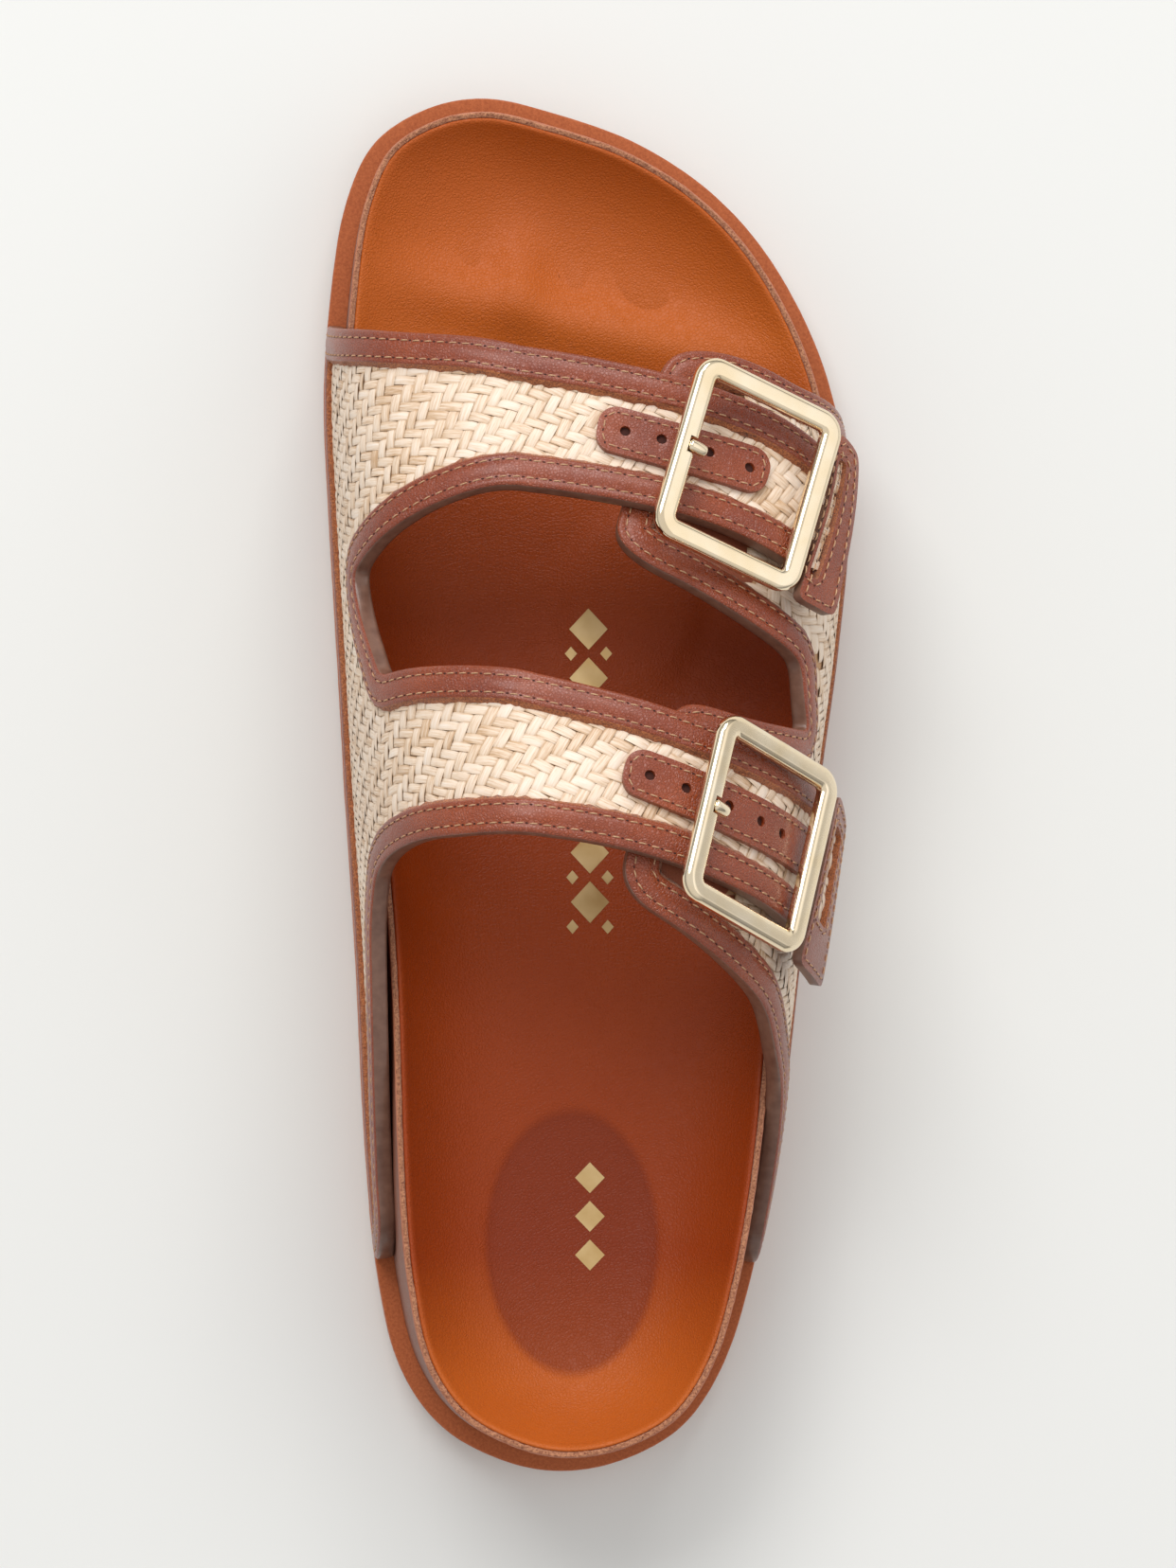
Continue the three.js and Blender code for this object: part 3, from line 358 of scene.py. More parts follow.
def rim_height(turn):
    share = share_of(along_at(turn))
    medial = footbed_column(2, share)
    lateral = footbed_column(3, share)
    own = np.where(turn > 0, lateral, medial)
    other = np.where(turn > 0, medial, lateral)
    blend = 0.5 + 0.5 * np.minimum(1, np.abs(np.sin(turn)) * RIM_BLEND)
    return RIM_HEIGHT * mix(other, own, blend) + underside(share) * RIM_SPRING


def lean_at(turn):
    return WALL_LEAN * footbed_column(4, share_of(along_at(turn)))


def footbed_height(x, y, turn, reach):
    share = share_of(y)
    cup = RIM_HEIGHT * footbed_column(1, share)
    crest = TOE_RIDGE["share"] - TOE_RIDGE["slant"] * (x - TOE_RIDGE["middle"])
    ridge = TOE_RIDGE["height"] * np.exp(-(((share - crest) / TOE_RIDGE["width"]) ** 2)) * (1 - reach**3)
    return mix(cup, rim_height(turn), reach**CUP_POWER) + ridge


def last_column(column, share):
    return through_rows(LAST_SECTIONS[:, 0], LAST_SECTIONS[:, column], share)


def last_point(share, around):
    """Point of the last. around is 0 at the inner ledge and 1 at the outer one."""
    turn = np.arccos(1 - 2 * share)
    step = 0.01
    run = SOLE_LENGTH * np.sin(turn) * step
    medial_slope = (side_at(-turn - step) - side_at(-turn + step)) / run
    lateral_slope = (side_at(turn + step) - side_at(turn - step)) / run
    medial = side_at(-turn) + EDGE_SETBACK * np.hypot(1, medial_slope)
    lateral = side_at(turn) - EDGE_SETBACK * np.hypot(1, lateral_slope)
    ridge = last_column(1, share) * BALL_WIDTH
    foot = underside(share) + LEDGE_TOP + GAP
    top = last_column(2, share) * INSTEP_HEIGHT
    angle = np.pi * around
    inner = np.cos(angle) > 0
    power = np.where(inner, last_column(3, share), last_column(4, share))
    reach = np.where(inner, ridge - medial, lateral - ridge)
    across = np.abs(np.cos(angle))
    up = np.abs(np.sin(angle))
    radius = (across**power + up**power) ** (-1 / power)
    return np.stack(
        [
            ridge - np.cos(angle) * radius * reach,
            (share - 0.5) * SOLE_LENGTH,
            foot + (top - foot) * radius * up,
        ],
        axis=-1,
    )


def last_normal(share, around):
    """Outward normal of the last, level where it stands on the ledge."""
    step = 0.0008
    low = np.maximum(0, around - step)
    high = np.minimum(1, around + step)
    along = last_point(share + step, around) - last_point(share - step, around)
    across = last_point(share, high) - last_point(share, low)
    normal = np.cross(across, along)
    level = np.minimum(around, 1 - around) < 0.02
    normal[..., 2] = np.where(level, 0, normal[..., 2])
    return normal / np.linalg.norm(normal, axis=-1, keepdims=True)


def on_medial(share, rise, height):
    """Point over the last for the inner quarter, whose straps climb over the outer one's tongues."""
    lift = STRAP_LIFT * smooth_step(rise, LIFT_FROM, LIFT_TO)
    return last_point(share, rise) + last_normal(share, rise) * (height + lift)[..., None]


def on_lateral(share, rise, height):
    """Point over the last for the outer quarter."""
    return last_point(share, 1 - rise) + last_normal(share, 1 - rise) * height[..., None]


def drape(side, places, height):
    """Points over the last for rows of share and rise at one height, or one for each row."""
    places = np.asarray(places, float)
    heights = np.broadcast_to(np.asarray(height, float), places.shape[:-1])
    return side(places[..., 0], places[..., 1], heights)


def stretch(side, places):
    """How the last's surface runs with share and with rise, in millimetres."""
    step = 0.002
    along = np.array([step, 0.0])
    low, high = places.copy(), places.copy()
    low[..., 1] = np.maximum(places[..., 1] - step, 0)
    high[..., 1] = np.minimum(np.maximum(places[..., 1], 0) + step, 1)
    run = (high - low)[..., 1:]
    return (
        (drape(side, places + along, 0.0) - drape(side, places - along, 0.0)) / (2 * step),
        (drape(side, high, 0.0) - drape(side, low, 0.0)) / run,
    )


def shift(side, places, vectors):
    """Places moved over the last by vectors in millimetres."""

    def step_by(at, part):
        along, around = stretch(side, at)
        aa = (along * along).sum(-1)
        bb = (around * around).sum(-1)
        ab = (along * around).sum(-1)
        va = (vectors * along).sum(-1) * part
        vb = (vectors * around).sum(-1) * part
        size = aa * bb - ab * ab
        return np.stack([(va * bb - vb * ab) / size, (vb * aa - va * ab) / size], axis=-1)

    middle = places + step_by(places, 0.5)
    moved = places + step_by(middle, 1.0)
    moved[..., 1] = np.maximum(moved[..., 1], 0)
    return moved


def evenly(side, places, spacing, closed=False):
    """The same line with its points evenly spaced in millimetres."""
    if closed:
        places = np.vstack([places, places[:1]])
    points = drape(side, places, 0.0)
    lengths = lengths_along(points)
    count = max(int(round(lengths[-1] / spacing)), 2)
    at = np.linspace(0, lengths[-1], count + 1)
    if closed:
        at = at[:-1]
    return points_at(at, lengths, places)


def soften(places, passes, closed=False):
    """The same line with its corners rounded."""
    line = places.copy()
    for _ in range(passes):
        before = np.roll(line, 1, axis=0)
        after = np.roll(line, -1, axis=0)
        rounded = (before + 2 * line + after) / 4
        if not closed:
            rounded[0], rounded[-1] = line[0], line[-1]
        line = rounded
    return line


def inward(side, line, closed=False):
    """Unit vectors over the last from an edge into the piece, which lies on the line's right."""
    along, around = stretch(side, line)
    step = np.roll(line, -1, axis=0) - np.roll(line, 1, axis=0)
    if not closed:
        step[0] = line[1] - line[0]
        step[-1] = line[-1] - line[-2]
    tangent = unit_rows(along * step[:, :1] + around * step[:, 1:])
    return np.cross(tangent, unit_rows(np.cross(along, around)))


MITRE_STEPS = 24
MITRE_SLACK = 0.12


def inset_lines(side, line, distances, closed=False):
    """Lines at distances inside an edge. Past a mitre a point stays on the mitre.

    Returns the places, one row of them for each distance, and the distance each one has."""
    vectors = inward(side, line, closed)
    edge = drape(side, line, 0.0)
    deepest = max(distances)
    reach = np.full(len(line), deepest)
    for distance in np.linspace(0, deepest, MITRE_STEPS + 1)[:0:-1]:
        points = drape(side, shift(side, line, vectors * distance), 0.0)
        nearest = np.linalg.norm(points[:, None] - edge[None], axis=2).min(axis=1)
        crossed = nearest < distance - MITRE_SLACK
        reach = np.where(crossed, np.minimum(reach, distance - deepest / MITRE_STEPS), reach)
    rows = []
    kept = []
    for distance in distances:
        own = np.minimum(distance, reach) if distance > 0 else np.full(len(line), distance)
        rows.append(shift(side, line, vectors * own[:, None]))
        kept.append(own)
    return np.array(rows), np.array(kept)


def strap_edge(table, edge):
    """Line of one edge of a strap from root to end."""
    rows = np.arange(len(table))
    at = np.linspace(0, len(table) - 1, 60)
    rise, share = (0, 1) if edge == "rear" else (2, 3)
    return np.column_stack([through_rows(rows, table[:, share], at), through_rows(rows, table[:, rise], at)])


def top_line(table):
    """Line through the rows of a quarter's top line."""
    at = np.linspace(table[0, 0], table[-1, 0], 40)
    return np.column_stack([at, through_rows(table[:, 0], table[:, 1], at)])


# The lining ends under the raffia's lowest crossings
LINING_TOP = QUARTER_OUTER - RAFFIA_RELIEF
# Points along the upper's edges, how often their corners are rounded, and how many points from
# the heel end a wing is rounded more
EDGE_SPACING = 1.2
EDGE_ROUNDS = 5
WING_POINTS = 13
WING_ROUNDS = 14


def quarter_lines():
    """The edges of both quarters, each with the piece on its right."""
    rise_steps = np.linspace(0, 1, 8)[:, None]
    medial_heel = np.array([MEDIAL_TAIL[0, 0], 0.0]) + rise_steps * np.array([0, MEDIAL_TAIL[0, 1]])
    lateral_heel = np.array([LATERAL_TAIL[0, 0], 0.0]) + rise_steps * np.array([0, LATERAL_TAIL[0, 1]])
    medial_root = strap_edge(MEDIAL_FRONT_STRAP, "front")[0]
    lateral_root = strap_edge(LATERAL_FRONT_TONGUE, "front")[0]
    medial_foot = mix(medial_root, np.array([MEDIAL_FRONT_FOOT, 0.0]), rise_steps)
    lateral_foot = mix(lateral_root, np.array([LATERAL_FRONT_FOOT, 0.0]), rise_steps)
    medial = {
        "rear": [medial_heel, top_line(MEDIAL_TAIL)[1:], strap_edge(MEDIAL_REAR_STRAP, "rear")[1:]],
        "window": [
            strap_edge(MEDIAL_REAR_STRAP, "front")[::-1],
            top_line(MEDIAL_CUTOUT)[1:],
            strap_edge(MEDIAL_FRONT_STRAP, "rear")[1:],
        ],
        "front": [strap_edge(MEDIAL_FRONT_STRAP, "front")[::-1], medial_foot[1:]],
    }
    lateral = [
        lateral_heel,
        top_line(LATERAL_TAIL)[1:],
        strap_edge(LATERAL_REAR_TONGUE, "rear")[1:],
        strap_edge(LATERAL_REAR_TONGUE, "front")[::-1],
        top_line(LATERAL_CUTOUT)[1:],
        strap_edge(LATERAL_FRONT_TONGUE, "rear")[1:],
        strap_edge(LATERAL_FRONT_TONGUE, "front")[::-1],
        lateral_foot[1:],
    ]
    lines = {name: np.vstack(parts) for name, parts in medial.items()}
    made = {
        name: soften(evenly(on_medial, line, EDGE_SPACING), EDGE_ROUNDS) for name, line in lines.items()
    }
    outer = soften(evenly(on_lateral, np.vstack(lateral), EDGE_SPACING), EDGE_ROUNDS)
    for line in (made["rear"], outer):
        line[:WING_POINTS] = soften(line[:WING_POINTS], WING_ROUNDS)
    return made, outer


MEDIAL_LINES, LATERAL_LINE = quarter_lines()
MEDIAL_LINE = np.vstack(list(MEDIAL_LINES.values()))


def hex_colour(code):
    """Linear colour of an sRGB hex value."""
    parts = [int(code[i : i + 2], 16) / 255 for i in (1, 3, 5)]
    return [c / 12.92 if c <= 0.04045 else ((c + 0.055) / 1.055) ** 2.4 for c in parts] + [1.0]


def add_node(tree, kind, inputs=None, stops=None, **settings):
    """Adds one node with its settings, ramp stops and inputs: values, or (node, output) to link."""
    made = tree.nodes.new(kind)
    for name, value in settings.items():
        setattr(made, name, value)
    if stops:
        ramp = made.color_ramp
        while len(ramp.elements) < len(stops):
            ramp.elements.new(0.5)
        for element, (place, code) in zip(ramp.elements, stops):
            element.position = place
            element.color = hex_colour(code)
    for name, value in (inputs or {}).items():
        if isinstance(value, tuple) and isinstance(value[0], bpy.types.Node):
            tree.links.new(value[0].outputs[value[1]], made.inputs[name])
        else:
            made.inputs[name].default_value = value
    return made


def start_material(name):
    """A material with its empty tree and its coordinates, in metres."""
    material = bpy.data.materials.new(name)
    material.use_nodes = True
    tree = material.node_tree
    tree.nodes.clear()
    return material, tree, add_node(tree, "ShaderNodeTexCoord")


def finish_material(tree, inputs):
    """Adds the surface's shader with its inputs, and the output."""
    shader = add_node(tree, "ShaderNodeBsdfPrincipled", inputs)
    add_node(tree, "ShaderNodeOutputMaterial", {"Surface": (shader, "BSDF")})


def leather(name, dark, light, grain, depth, roughness, coat=0.0, shine=0.5, tones=None, shaded_oval=None):
    """Smooth leather: a fine pored grain with soft creases, cloudy colour and a broken gloss.

    grain: millimetres from pore to pore, depth: how strongly it shows, tones: painted light and
    shade along the sole, as stops by share, shaded_oval: an oval of painted shade."""
    material, tree, place = start_material(name)
    at = (place, "Object")
    cloud = add_node(tree, "ShaderNodeTexNoise", {"Vector": at, "Scale": 1000 / 14, "Detail": 4.0})
    pores = add_node(
        tree, "ShaderNodeTexVoronoi", {"Vector": at, "Scale": 1000 / grain}, feature="DISTANCE_TO_EDGE",
    )
    valley = add_node(
        tree, "ShaderNodeMapRange",
        {"Value": (pores, "Distance"), "From Max": 0.22, "To Min": 0.0, "To Max": 1.0},
    )
    crease = add_node(
        tree, "ShaderNodeTexNoise",
        {"Vector": at, "Scale": 1000 / (grain * 3.2), "Detail": 6.0, "Roughness": 0.62, "Distortion": 0.7},
    )
    relief = add_node(
        tree, "ShaderNodeMath", {0: (valley, "Result"), 1: (crease, "Fac")}, operation="MULTIPLY",
    )
    tone = add_node(
        tree, "ShaderNodeMix",
        {"Factor": 0.35, "A": (cloud, "Fac"), "B": (crease, "Fac")}, data_type="FLOAT",
    )
    colour = add_node(
        tree, "ShaderNodeValToRGB", {"Fac": (tone, "Result")}, stops=[(0.32, dark), (0.66, light)],
    )
    bump = add_node(
        tree, "ShaderNodeBump", {"Height": (relief, "Value"), "Strength": depth, "Distance": 0.0002},
    )
    sheen = add_node(
        tree, "ShaderNodeMapRange",
        {"Value": (crease, "Fac"), "To Min": roughness - 0.08, "To Max": roughness + 0.14},
    )
    # Painted light and shade along the sole, mixed into the colour
    if tones:
        parts = add_node(tree, "ShaderNodeSeparateXYZ", {"Vector": at})
        share = add_node(
            tree, "ShaderNodeMapRange",
            {
                "Value": (parts, "Y"),
                "From Min": -SOLE_LENGTH / 2 * MM, "From Max": SOLE_LENGTH / 2 * MM,
            },
        )
        painted_light_and_shade = add_node(tree, "ShaderNodeValToRGB", {"Fac": (share, "Result")}, stops=tones)
        colour = add_node(
            tree, "ShaderNodeMixRGB",
            {"Fac": 0.8, "Color1": (colour, "Color"), "Color2": (painted_light_and_shade, "Color")},
        )
    # An oval of painted shade over the heel dish
    if shaded_oval:
        centre = (shaded_oval["x"] * MM, (shaded_oval["share"] - 0.5) * SOLE_LENGTH * MM, 0.0)
        spread = (1 / (shaded_oval["half_x"] * MM), 1 / (shaded_oval["half_y"] * MM), 0.0)
        moved = add_node(tree, "ShaderNodeVectorMath", {0: at, 1: centre}, operation="SUBTRACT")
        scaled = add_node(
            tree, "ShaderNodeVectorMath", {0: (moved, "Vector"), 1: spread}, operation="MULTIPLY",
        )
        reach = add_node(tree, "ShaderNodeVectorMath", {0: (scaled, "Vector")}, operation="LENGTH")
        inside = add_node(
            tree, "ShaderNodeMapRange",
            {
                "Value": (reach, "Value"),
                "From Min": 1.04, "From Max": 0.96, "To Min": 0.0, "To Max": 0.65,
            },
        )
        colour = add_node(
            tree, "ShaderNodeMixRGB",
            {
                "Fac": (inside, "Result"), "Color1": (colour, "Color"),
                "Color2": hex_colour(shaded_oval["colour"]),
            },
        )
    finish_material(tree, {
        "Base Color": (colour, "Color"), "Roughness": (sheen, "Result"), "Normal": (bump, "Normal"),
        "Specular IOR Level": shine, "Coat Weight": coat, "Coat Roughness": 0.28,
    })
    return material


def cut_leather(name, dark, light, speck, depth):
    """Raw cut leather: matt, with the loose fibres of the split hide as light and dark specks."""
    material, tree, place = start_material(name)
    at = (place, "Object")
    fibre = add_node(
        tree, "ShaderNodeTexNoise", {"Vector": at, "Scale": 1000 / speck, "Detail": 5.0, "Roughness": 0.7},
    )
    colour = add_node(
        tree, "ShaderNodeValToRGB", {"Fac": (fibre, "Fac")}, stops=[(0.36, dark), (0.62, light)],
    )
    bump = add_node(
        tree, "ShaderNodeBump", {"Height": (fibre, "Fac"), "Strength": depth, "Distance": 0.0003},
    )
    finish_material(tree, {
        "Base Color": (colour, "Color"), "Normal": (bump, "Normal"), "Roughness": 0.85, "Sheen Weight": 0.25,
    })
    return material


def raffia_palm():
    """Raffia: flat strips of dried palm leaf, pale straw with long fibres and a waxy shine."""
    material, tree, place = start_material("woven raffia")
    along = add_node(tree, "ShaderNodeMapping", {"Vector": (place, "UV"), "Scale": (0.25, 3.0, 1.0)})
    fibre = add_node(
        tree, "ShaderNodeTexNoise",
        {"Vector": (along, "Vector"), "Scale": 1.0, "Detail": 4.0, "Roughness": 0.65},
    )
    # The straw attribute holds each strip's own tone and painted shade at its edges and ends
    tone = add_node(tree, "ShaderNodeAttribute", attribute_name="straw")
    shade = add_node(
        tree, "ShaderNodeMix", {"Factor": 0.68, "A": (tone, "Fac"), "B": (fibre, "Fac")}, data_type="FLOAT",
    )
    colour = add_node(
        tree, "ShaderNodeValToRGB", {"Fac": (shade, "Result")},
        stops=[(0.2, "#946a47"), (0.38, "#c9a682"), (0.52, "#e4cdb5"), (0.74, "#f0e3d6")],
    )
    bump = add_node(
        tree, "ShaderNodeBump", {"Height": (fibre, "Fac"), "Strength": 0.5, "Distance": 0.00012},
    )
    gloss = add_node(
        tree, "ShaderNodeMapRange", {"Value": (fibre, "Fac"), "To Min": 0.3, "To Max": 0.6},
    )
    finish_material(tree, {
        "Base Color": (colour, "Color"), "Roughness": (gloss, "Result"), "Normal": (bump, "Normal"),
        "IOR": 1.5,
    })
    return material


def plated_metal(name, pale, deep, roughness):
    """Polished plating over cast zinc: mirror gloss with faint clouds where it was buffed."""
    material, tree, place = start_material(name)
    cloud = add_node(
        tree, "ShaderNodeTexNoise", {"Vector": (place, "Object"), "Scale": 1000 / 6, "Detail": 3.0},
    )
    colour = add_node(
        tree, "ShaderNodeValToRGB", {"Fac": (cloud, "Fac")}, stops=[(0.3, deep), (0.7, pale)],
    )
    polish = add_node(
        tree, "ShaderNodeMapRange",
        {"Value": (cloud, "Fac"), "To Min": roughness * 0.7, "To Max": roughness * 1.4},
    )
    finish_material(tree, {
        "Base Color": (colour, "Color"), "Roughness": (polish, "Result"), "Metallic": 1.0,
    })
    return material


def plain(name, dark, light, roughness, size=2.0):
    """Paint, thread, cloth or paper: one colour with faint clouds, size millimetres across."""
    material, tree, place = start_material(name)
    cloud = add_node(
        tree, "ShaderNodeTexNoise", {"Vector": (place, "Object"), "Scale": 1000 / size, "Detail": 3.0},
    )
    colour = add_node(
        tree, "ShaderNodeValToRGB", {"Fac": (cloud, "Fac")}, stops=[(0.3, dark), (0.7, light)],
    )
    finish_material(tree, {"Base Color": (colour, "Color"), "Roughness": roughness})
    return material


# Painted light and shade on the cup: paler where its slope at the heel and its hollow at the toes catch the
# light, darker between them where the straps shade it
CUP_LIGHT_AND_SHADE = [
    (0.0, "#c06120"), (0.07, "#be5f1e"), (0.16, "#92370a"), (0.6, "#92370a"),
    (0.74, "#a34610"), (0.82, "#ba5e1a"), (1.0, "#a84f16"),
]
# Waxed calf: dark red brown, a soft second gloss over the grain
BINDING = leather("calf binding leather", "#74280a", "#954015", 0.6, 1.0, 0.34, coat=0.4, shine=0.5)
# Vegetable-tanned sock lining: warm tan, low gloss, with painted light and shade along the sole and a darker
# oval of painted shade at the heel
CUP_LEATHER = leather(
    "cup lining leather", "#983c0c", "#ae4d15", 0.65, 0.6, 0.44, shine=0.26,
    tones=CUP_LIGHT_AND_SHADE, shaded_oval=HEEL_DISH,
)
# Smooth wrap of the footbed: its wall a muted brown darkened all over with painted shade, and a paler fold at
# its upper edge
SHADED_WRAP_LEATHER = leather("footbed wrap leather", "#75402c", "#87503a", 0.6, 0.3, 0.5)
WRAP_EDGE = leather("folded wrap edge", "#a05a3e", "#bb7556", 0.5, 0.4, 0.5)
# Back of the quarters: plain and dull
UNDER_LEATHER = leather("quarter lining leather", "#7a3a22", "#8f4a2c", 0.7, 0.3, 0.6)
# Cut leathers: a velvety ledge, a coarser pale sole edge, a speckled rim and a fuzzy raw edge
WELT_LEATHER = cut_leather("nubuck welt", "#9a4a20", "#b25e30", 0.5, 0.25)
SOLE_LEATHER = cut_leather("raw sole leather", "#9c5222", "#c87637", 0.45, 0.6)
RIM_CUT = cut_leather("cut rim leather", "#7c4026", "#c88a64", 0.4, 0.9)
RAW_SUEDE = cut_leather("raw suede edge", "#74361a", "#c27440", 0.35, 1.0)
# Sealed edges are smooth and a little glossy, cloth and thread are dull
EDGE_PAINT = plain("edge paint", "#674638", "#7b5949", 0.3)
BACKING = plain("straw backing cloth", "#b0855e", "#c99f78", 0.9)
THREAD = plain("waxed thread", "#a87c5a", "#c8a07c", 0.6, 0.4)
# Painted shade: near-black flat discs stand for the shade inside needle holes and punched holes
HOLE_SHADE = plain("needle hole", "#34140b", "#471d11", 0.9)
RAFFIA = raffia_palm()
GOLD = plated_metal("pale gold plating", "#f6e6cb", "#efdab6", 0.1)
FOIL = plated_metal("gold foil", "#d9bd8c", "#c6a36c", 0.45)


def make_piece(name, points, faces, finishes, picks=None, weld=0.0, closed=False):
    """A smooth mesh piece from points in millimetres. weld: how close points are made one."""
    mesh = bpy.data.meshes.new(name)
    mesh.from_pydata((np.asarray(points, float) * MM).tolist(), [], [tuple(int(i) for i in f) for f in faces])
    for finish in finishes:
        mesh.materials.append(finish)
    if picks is not None:
        mesh.polygons.foreach_set("material_index", np.asarray(picks, np.int32))
    if weld or closed:
        shaped = bmesh.new()
        shaped.from_mesh(mesh)
        bmesh.ops.remove_doubles(shaped, verts=shaped.verts, dist=weld * MM)
        bmesh.ops.dissolve_degenerate(shaped, edges=shaped.edges, dist=1e-7)
        if closed:
            bmesh.ops.recalc_face_normals(shaped, faces=shaped.faces)
        shaped.to_mesh(mesh)
        shaped.free()
    mesh.shade_smooth()
    piece = bpy.data.objects.new(name, mesh)
    bpy.context.scene.collection.objects.link(piece)
    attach(piece, "root")
    return piece


def ring_faces(rows, count, closed=True):
    """Four-sided faces between rows of points."""
    faces = []
    for r in range(rows - 1):
        for i in range(count if closed else count - 1):
            j = (i + 1) % count
            faces.append((r * count + i, r * count + j, (r + 1) * count + j, (r + 1) * count + i))
    return faces


def roughen(count, size, seed):
    """Smooth random wobble along a closed edge."""
    values = np.random.default_rng(seed).normal(0, size, count)
    return (np.roll(values, 1) + 2 * values + np.roll(values, -1)) / 4


def sole_layer(name, node, bottom, top, bevel, stations, finish, wobble):
    """A flat layer of the sole whose cut edge is a little uneven."""
    turn = turns(stations)
    rough = np.abs(roughen(stations, wobble, 11 + stations))
    flat = lambda height: lambda x, y, t, r: underside(share_of(y)) + height
    levels = [bottom, bottom + bevel * 0.3, bottom + bevel]
    insets = [bevel, bevel * 0.3, 0.0]
    middle = np.linspace(bottom + bevel, top - bevel, 4)[1:-1]
    rings = [ring(turn, 0, reach, flat(bottom)) for reach in (0, 0.35, 0.7)]
    rings += [ring(turn, inset + rough, 1, flat(level)) for inset, level in zip(insets, levels)]
    rings += [ring(turn, rough * 0.4, 1, flat(level)) for level in middle]
    rings += [
        ring(turn, inset + rough, 1, flat(top - (level - bottom)))
        for inset, level in zip(insets[::-1], levels[::-1])
    ]
    rings += [ring(turn, LEDGE + 1.5, 1, flat(top))]
    rings += [ring(turn, 0, reach, flat(top)) for reach in (0.6, 0.3, 0)]
    piece = make_piece(
        name, np.vstack(rings), ring_faces(len(rings), stations), [finish], weld=0.02, closed=True,
    )
    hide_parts(node)
    return piece


# Glued layers lie this far apart
GLUE_LINE = 0.02

sole_layer(
    "sole_leather", "outsole", 0.0, OUTSOLE_THICKNESS, EDGE_BEVEL, 420, SOLE_LEATHER, 0.09,
)
sole_layer(
    "welt_ledge", "midsole", OUTSOLE_THICKNESS + GLUE_LINE, LEDGE_TOP, EDGE_BEVEL / 2, 400,
    WELT_LEATHER, 0.03,
)

# Sections over the rim, as distance in and drop: the wrap's fold and cut band, and the lining
WRAP_RIM = [(0.04, 0.34), (0.2, 0.06), (0.5, 0), (0.62, 0.1), (0.95, 0.1), (1.15, 0.5)]
WRAP_FOLD_ROWS = 2
LINING_RIM = [(0.25, 0.3), (-0.15, 0.1), (-0.4, 0.14), (-0.58, 0.5), (-0.6, 1.6)]


def rim_inset(turn):
    return LEDGE + lean_at(turn)


def footbed_wrap():
    """The wrapped footbed: its wall, the fold at its upper edge and the rough cut band inside it."""
    stations = 840
    turn = turns(stations)
    foot = lambda x, y, t, r: underside(share_of(y)) + LEDGE_TOP + GLUE_LINE
    rings = [ring(turn, LEDGE, 0, foot)]
    picks = []
    for step in np.linspace(0, 1, 16):
        lean = through_rows([0, WAIST_RISE, 1], [0, WAIST_LEAN, 1], step)
        level = lambda x, y, t, r, step=step: mix(foot(x, y, t, r), rim_height(t) - 0.5, step)
        rings.append(ring(turn, LEDGE + lean_at(turn) * lean, 1, level))
        picks.append(0)
    band = RIM_WRAP + GAP * 0.6
    rough = roughen(stations, 0.2, 5)
    for i, (inset, drop) in enumerate([*WRAP_RIM, (band, WRAP_UNDER)]):
        wave = roughen(stations, 0.13, 20 + i)
        level = lambda x, y, t, r, drop=drop, wave=wave: rim_height(t) - drop + wave
        rings.append(ring(turn, rim_inset(turn) + inset + rough * 0.3, 1, level))
        picks.append(2 if i < WRAP_FOLD_ROWS else 1)
    under = lambda x, y, t, r: footbed_height(x, y, t, r) - WRAP_UNDER
    for reach in (0.97, 0.9, 0.75, 0.5, 0.25, 0):
        rings.append(ring(turn, rim_inset(turn) + band, reach, under))
        picks.append(0)
    faces = ring_faces(len(rings), stations)
    # The wall's leather is dark with painted shade
    piece = make_piece(
        "footbed_wrap", np.vstack(rings), faces, [SHADED_WRAP_LEATHER, RIM_CUT, WRAP_EDGE],
        np.repeat(picks, stations), weld=0.001, closed=True,
    )
    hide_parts("footbed")
    return piece


footbed_wrap()


def oval_reach(x, y, oval):
    """0 in the middle of an oval and 1 on its edge."""
    along = y - (oval["share"] - 0.5) * SOLE_LENGTH
    return np.hypot((x - oval["x"]) / oval["half_x"], along / oval["half_y"])


def cup_height(x, y, turn, reach):
    """Height of the cup's surface with its low forms."""
    share = share_of(y)
    fork = np.hypot((x - TOE_FORK["x"]) / TOE_FORK["half"], (share - TOE_FORK["share"]) / TOE_FORK["length"])
    dish = smooth_step(-oval_reach(x, y, HEEL_DISH), -1.06, -0.95)
    pad = smooth_step(-oval_reach(x, y, BALL_PAD), -1.15, -0.75)
    hollow = TOE_HOLLOW["depth"] * smooth_step(share, TOE_HOLLOW["from"], TOE_HOLLOW["to"]) * (1 - reach**5)
    level = footbed_height(x, y, turn, reach) - HEEL_DISH["depth"] * dish
    level = level - hollow
    return level + TOE_FORK["height"] * np.exp(-(fork**2)) + BALL_PAD["height"] * pad


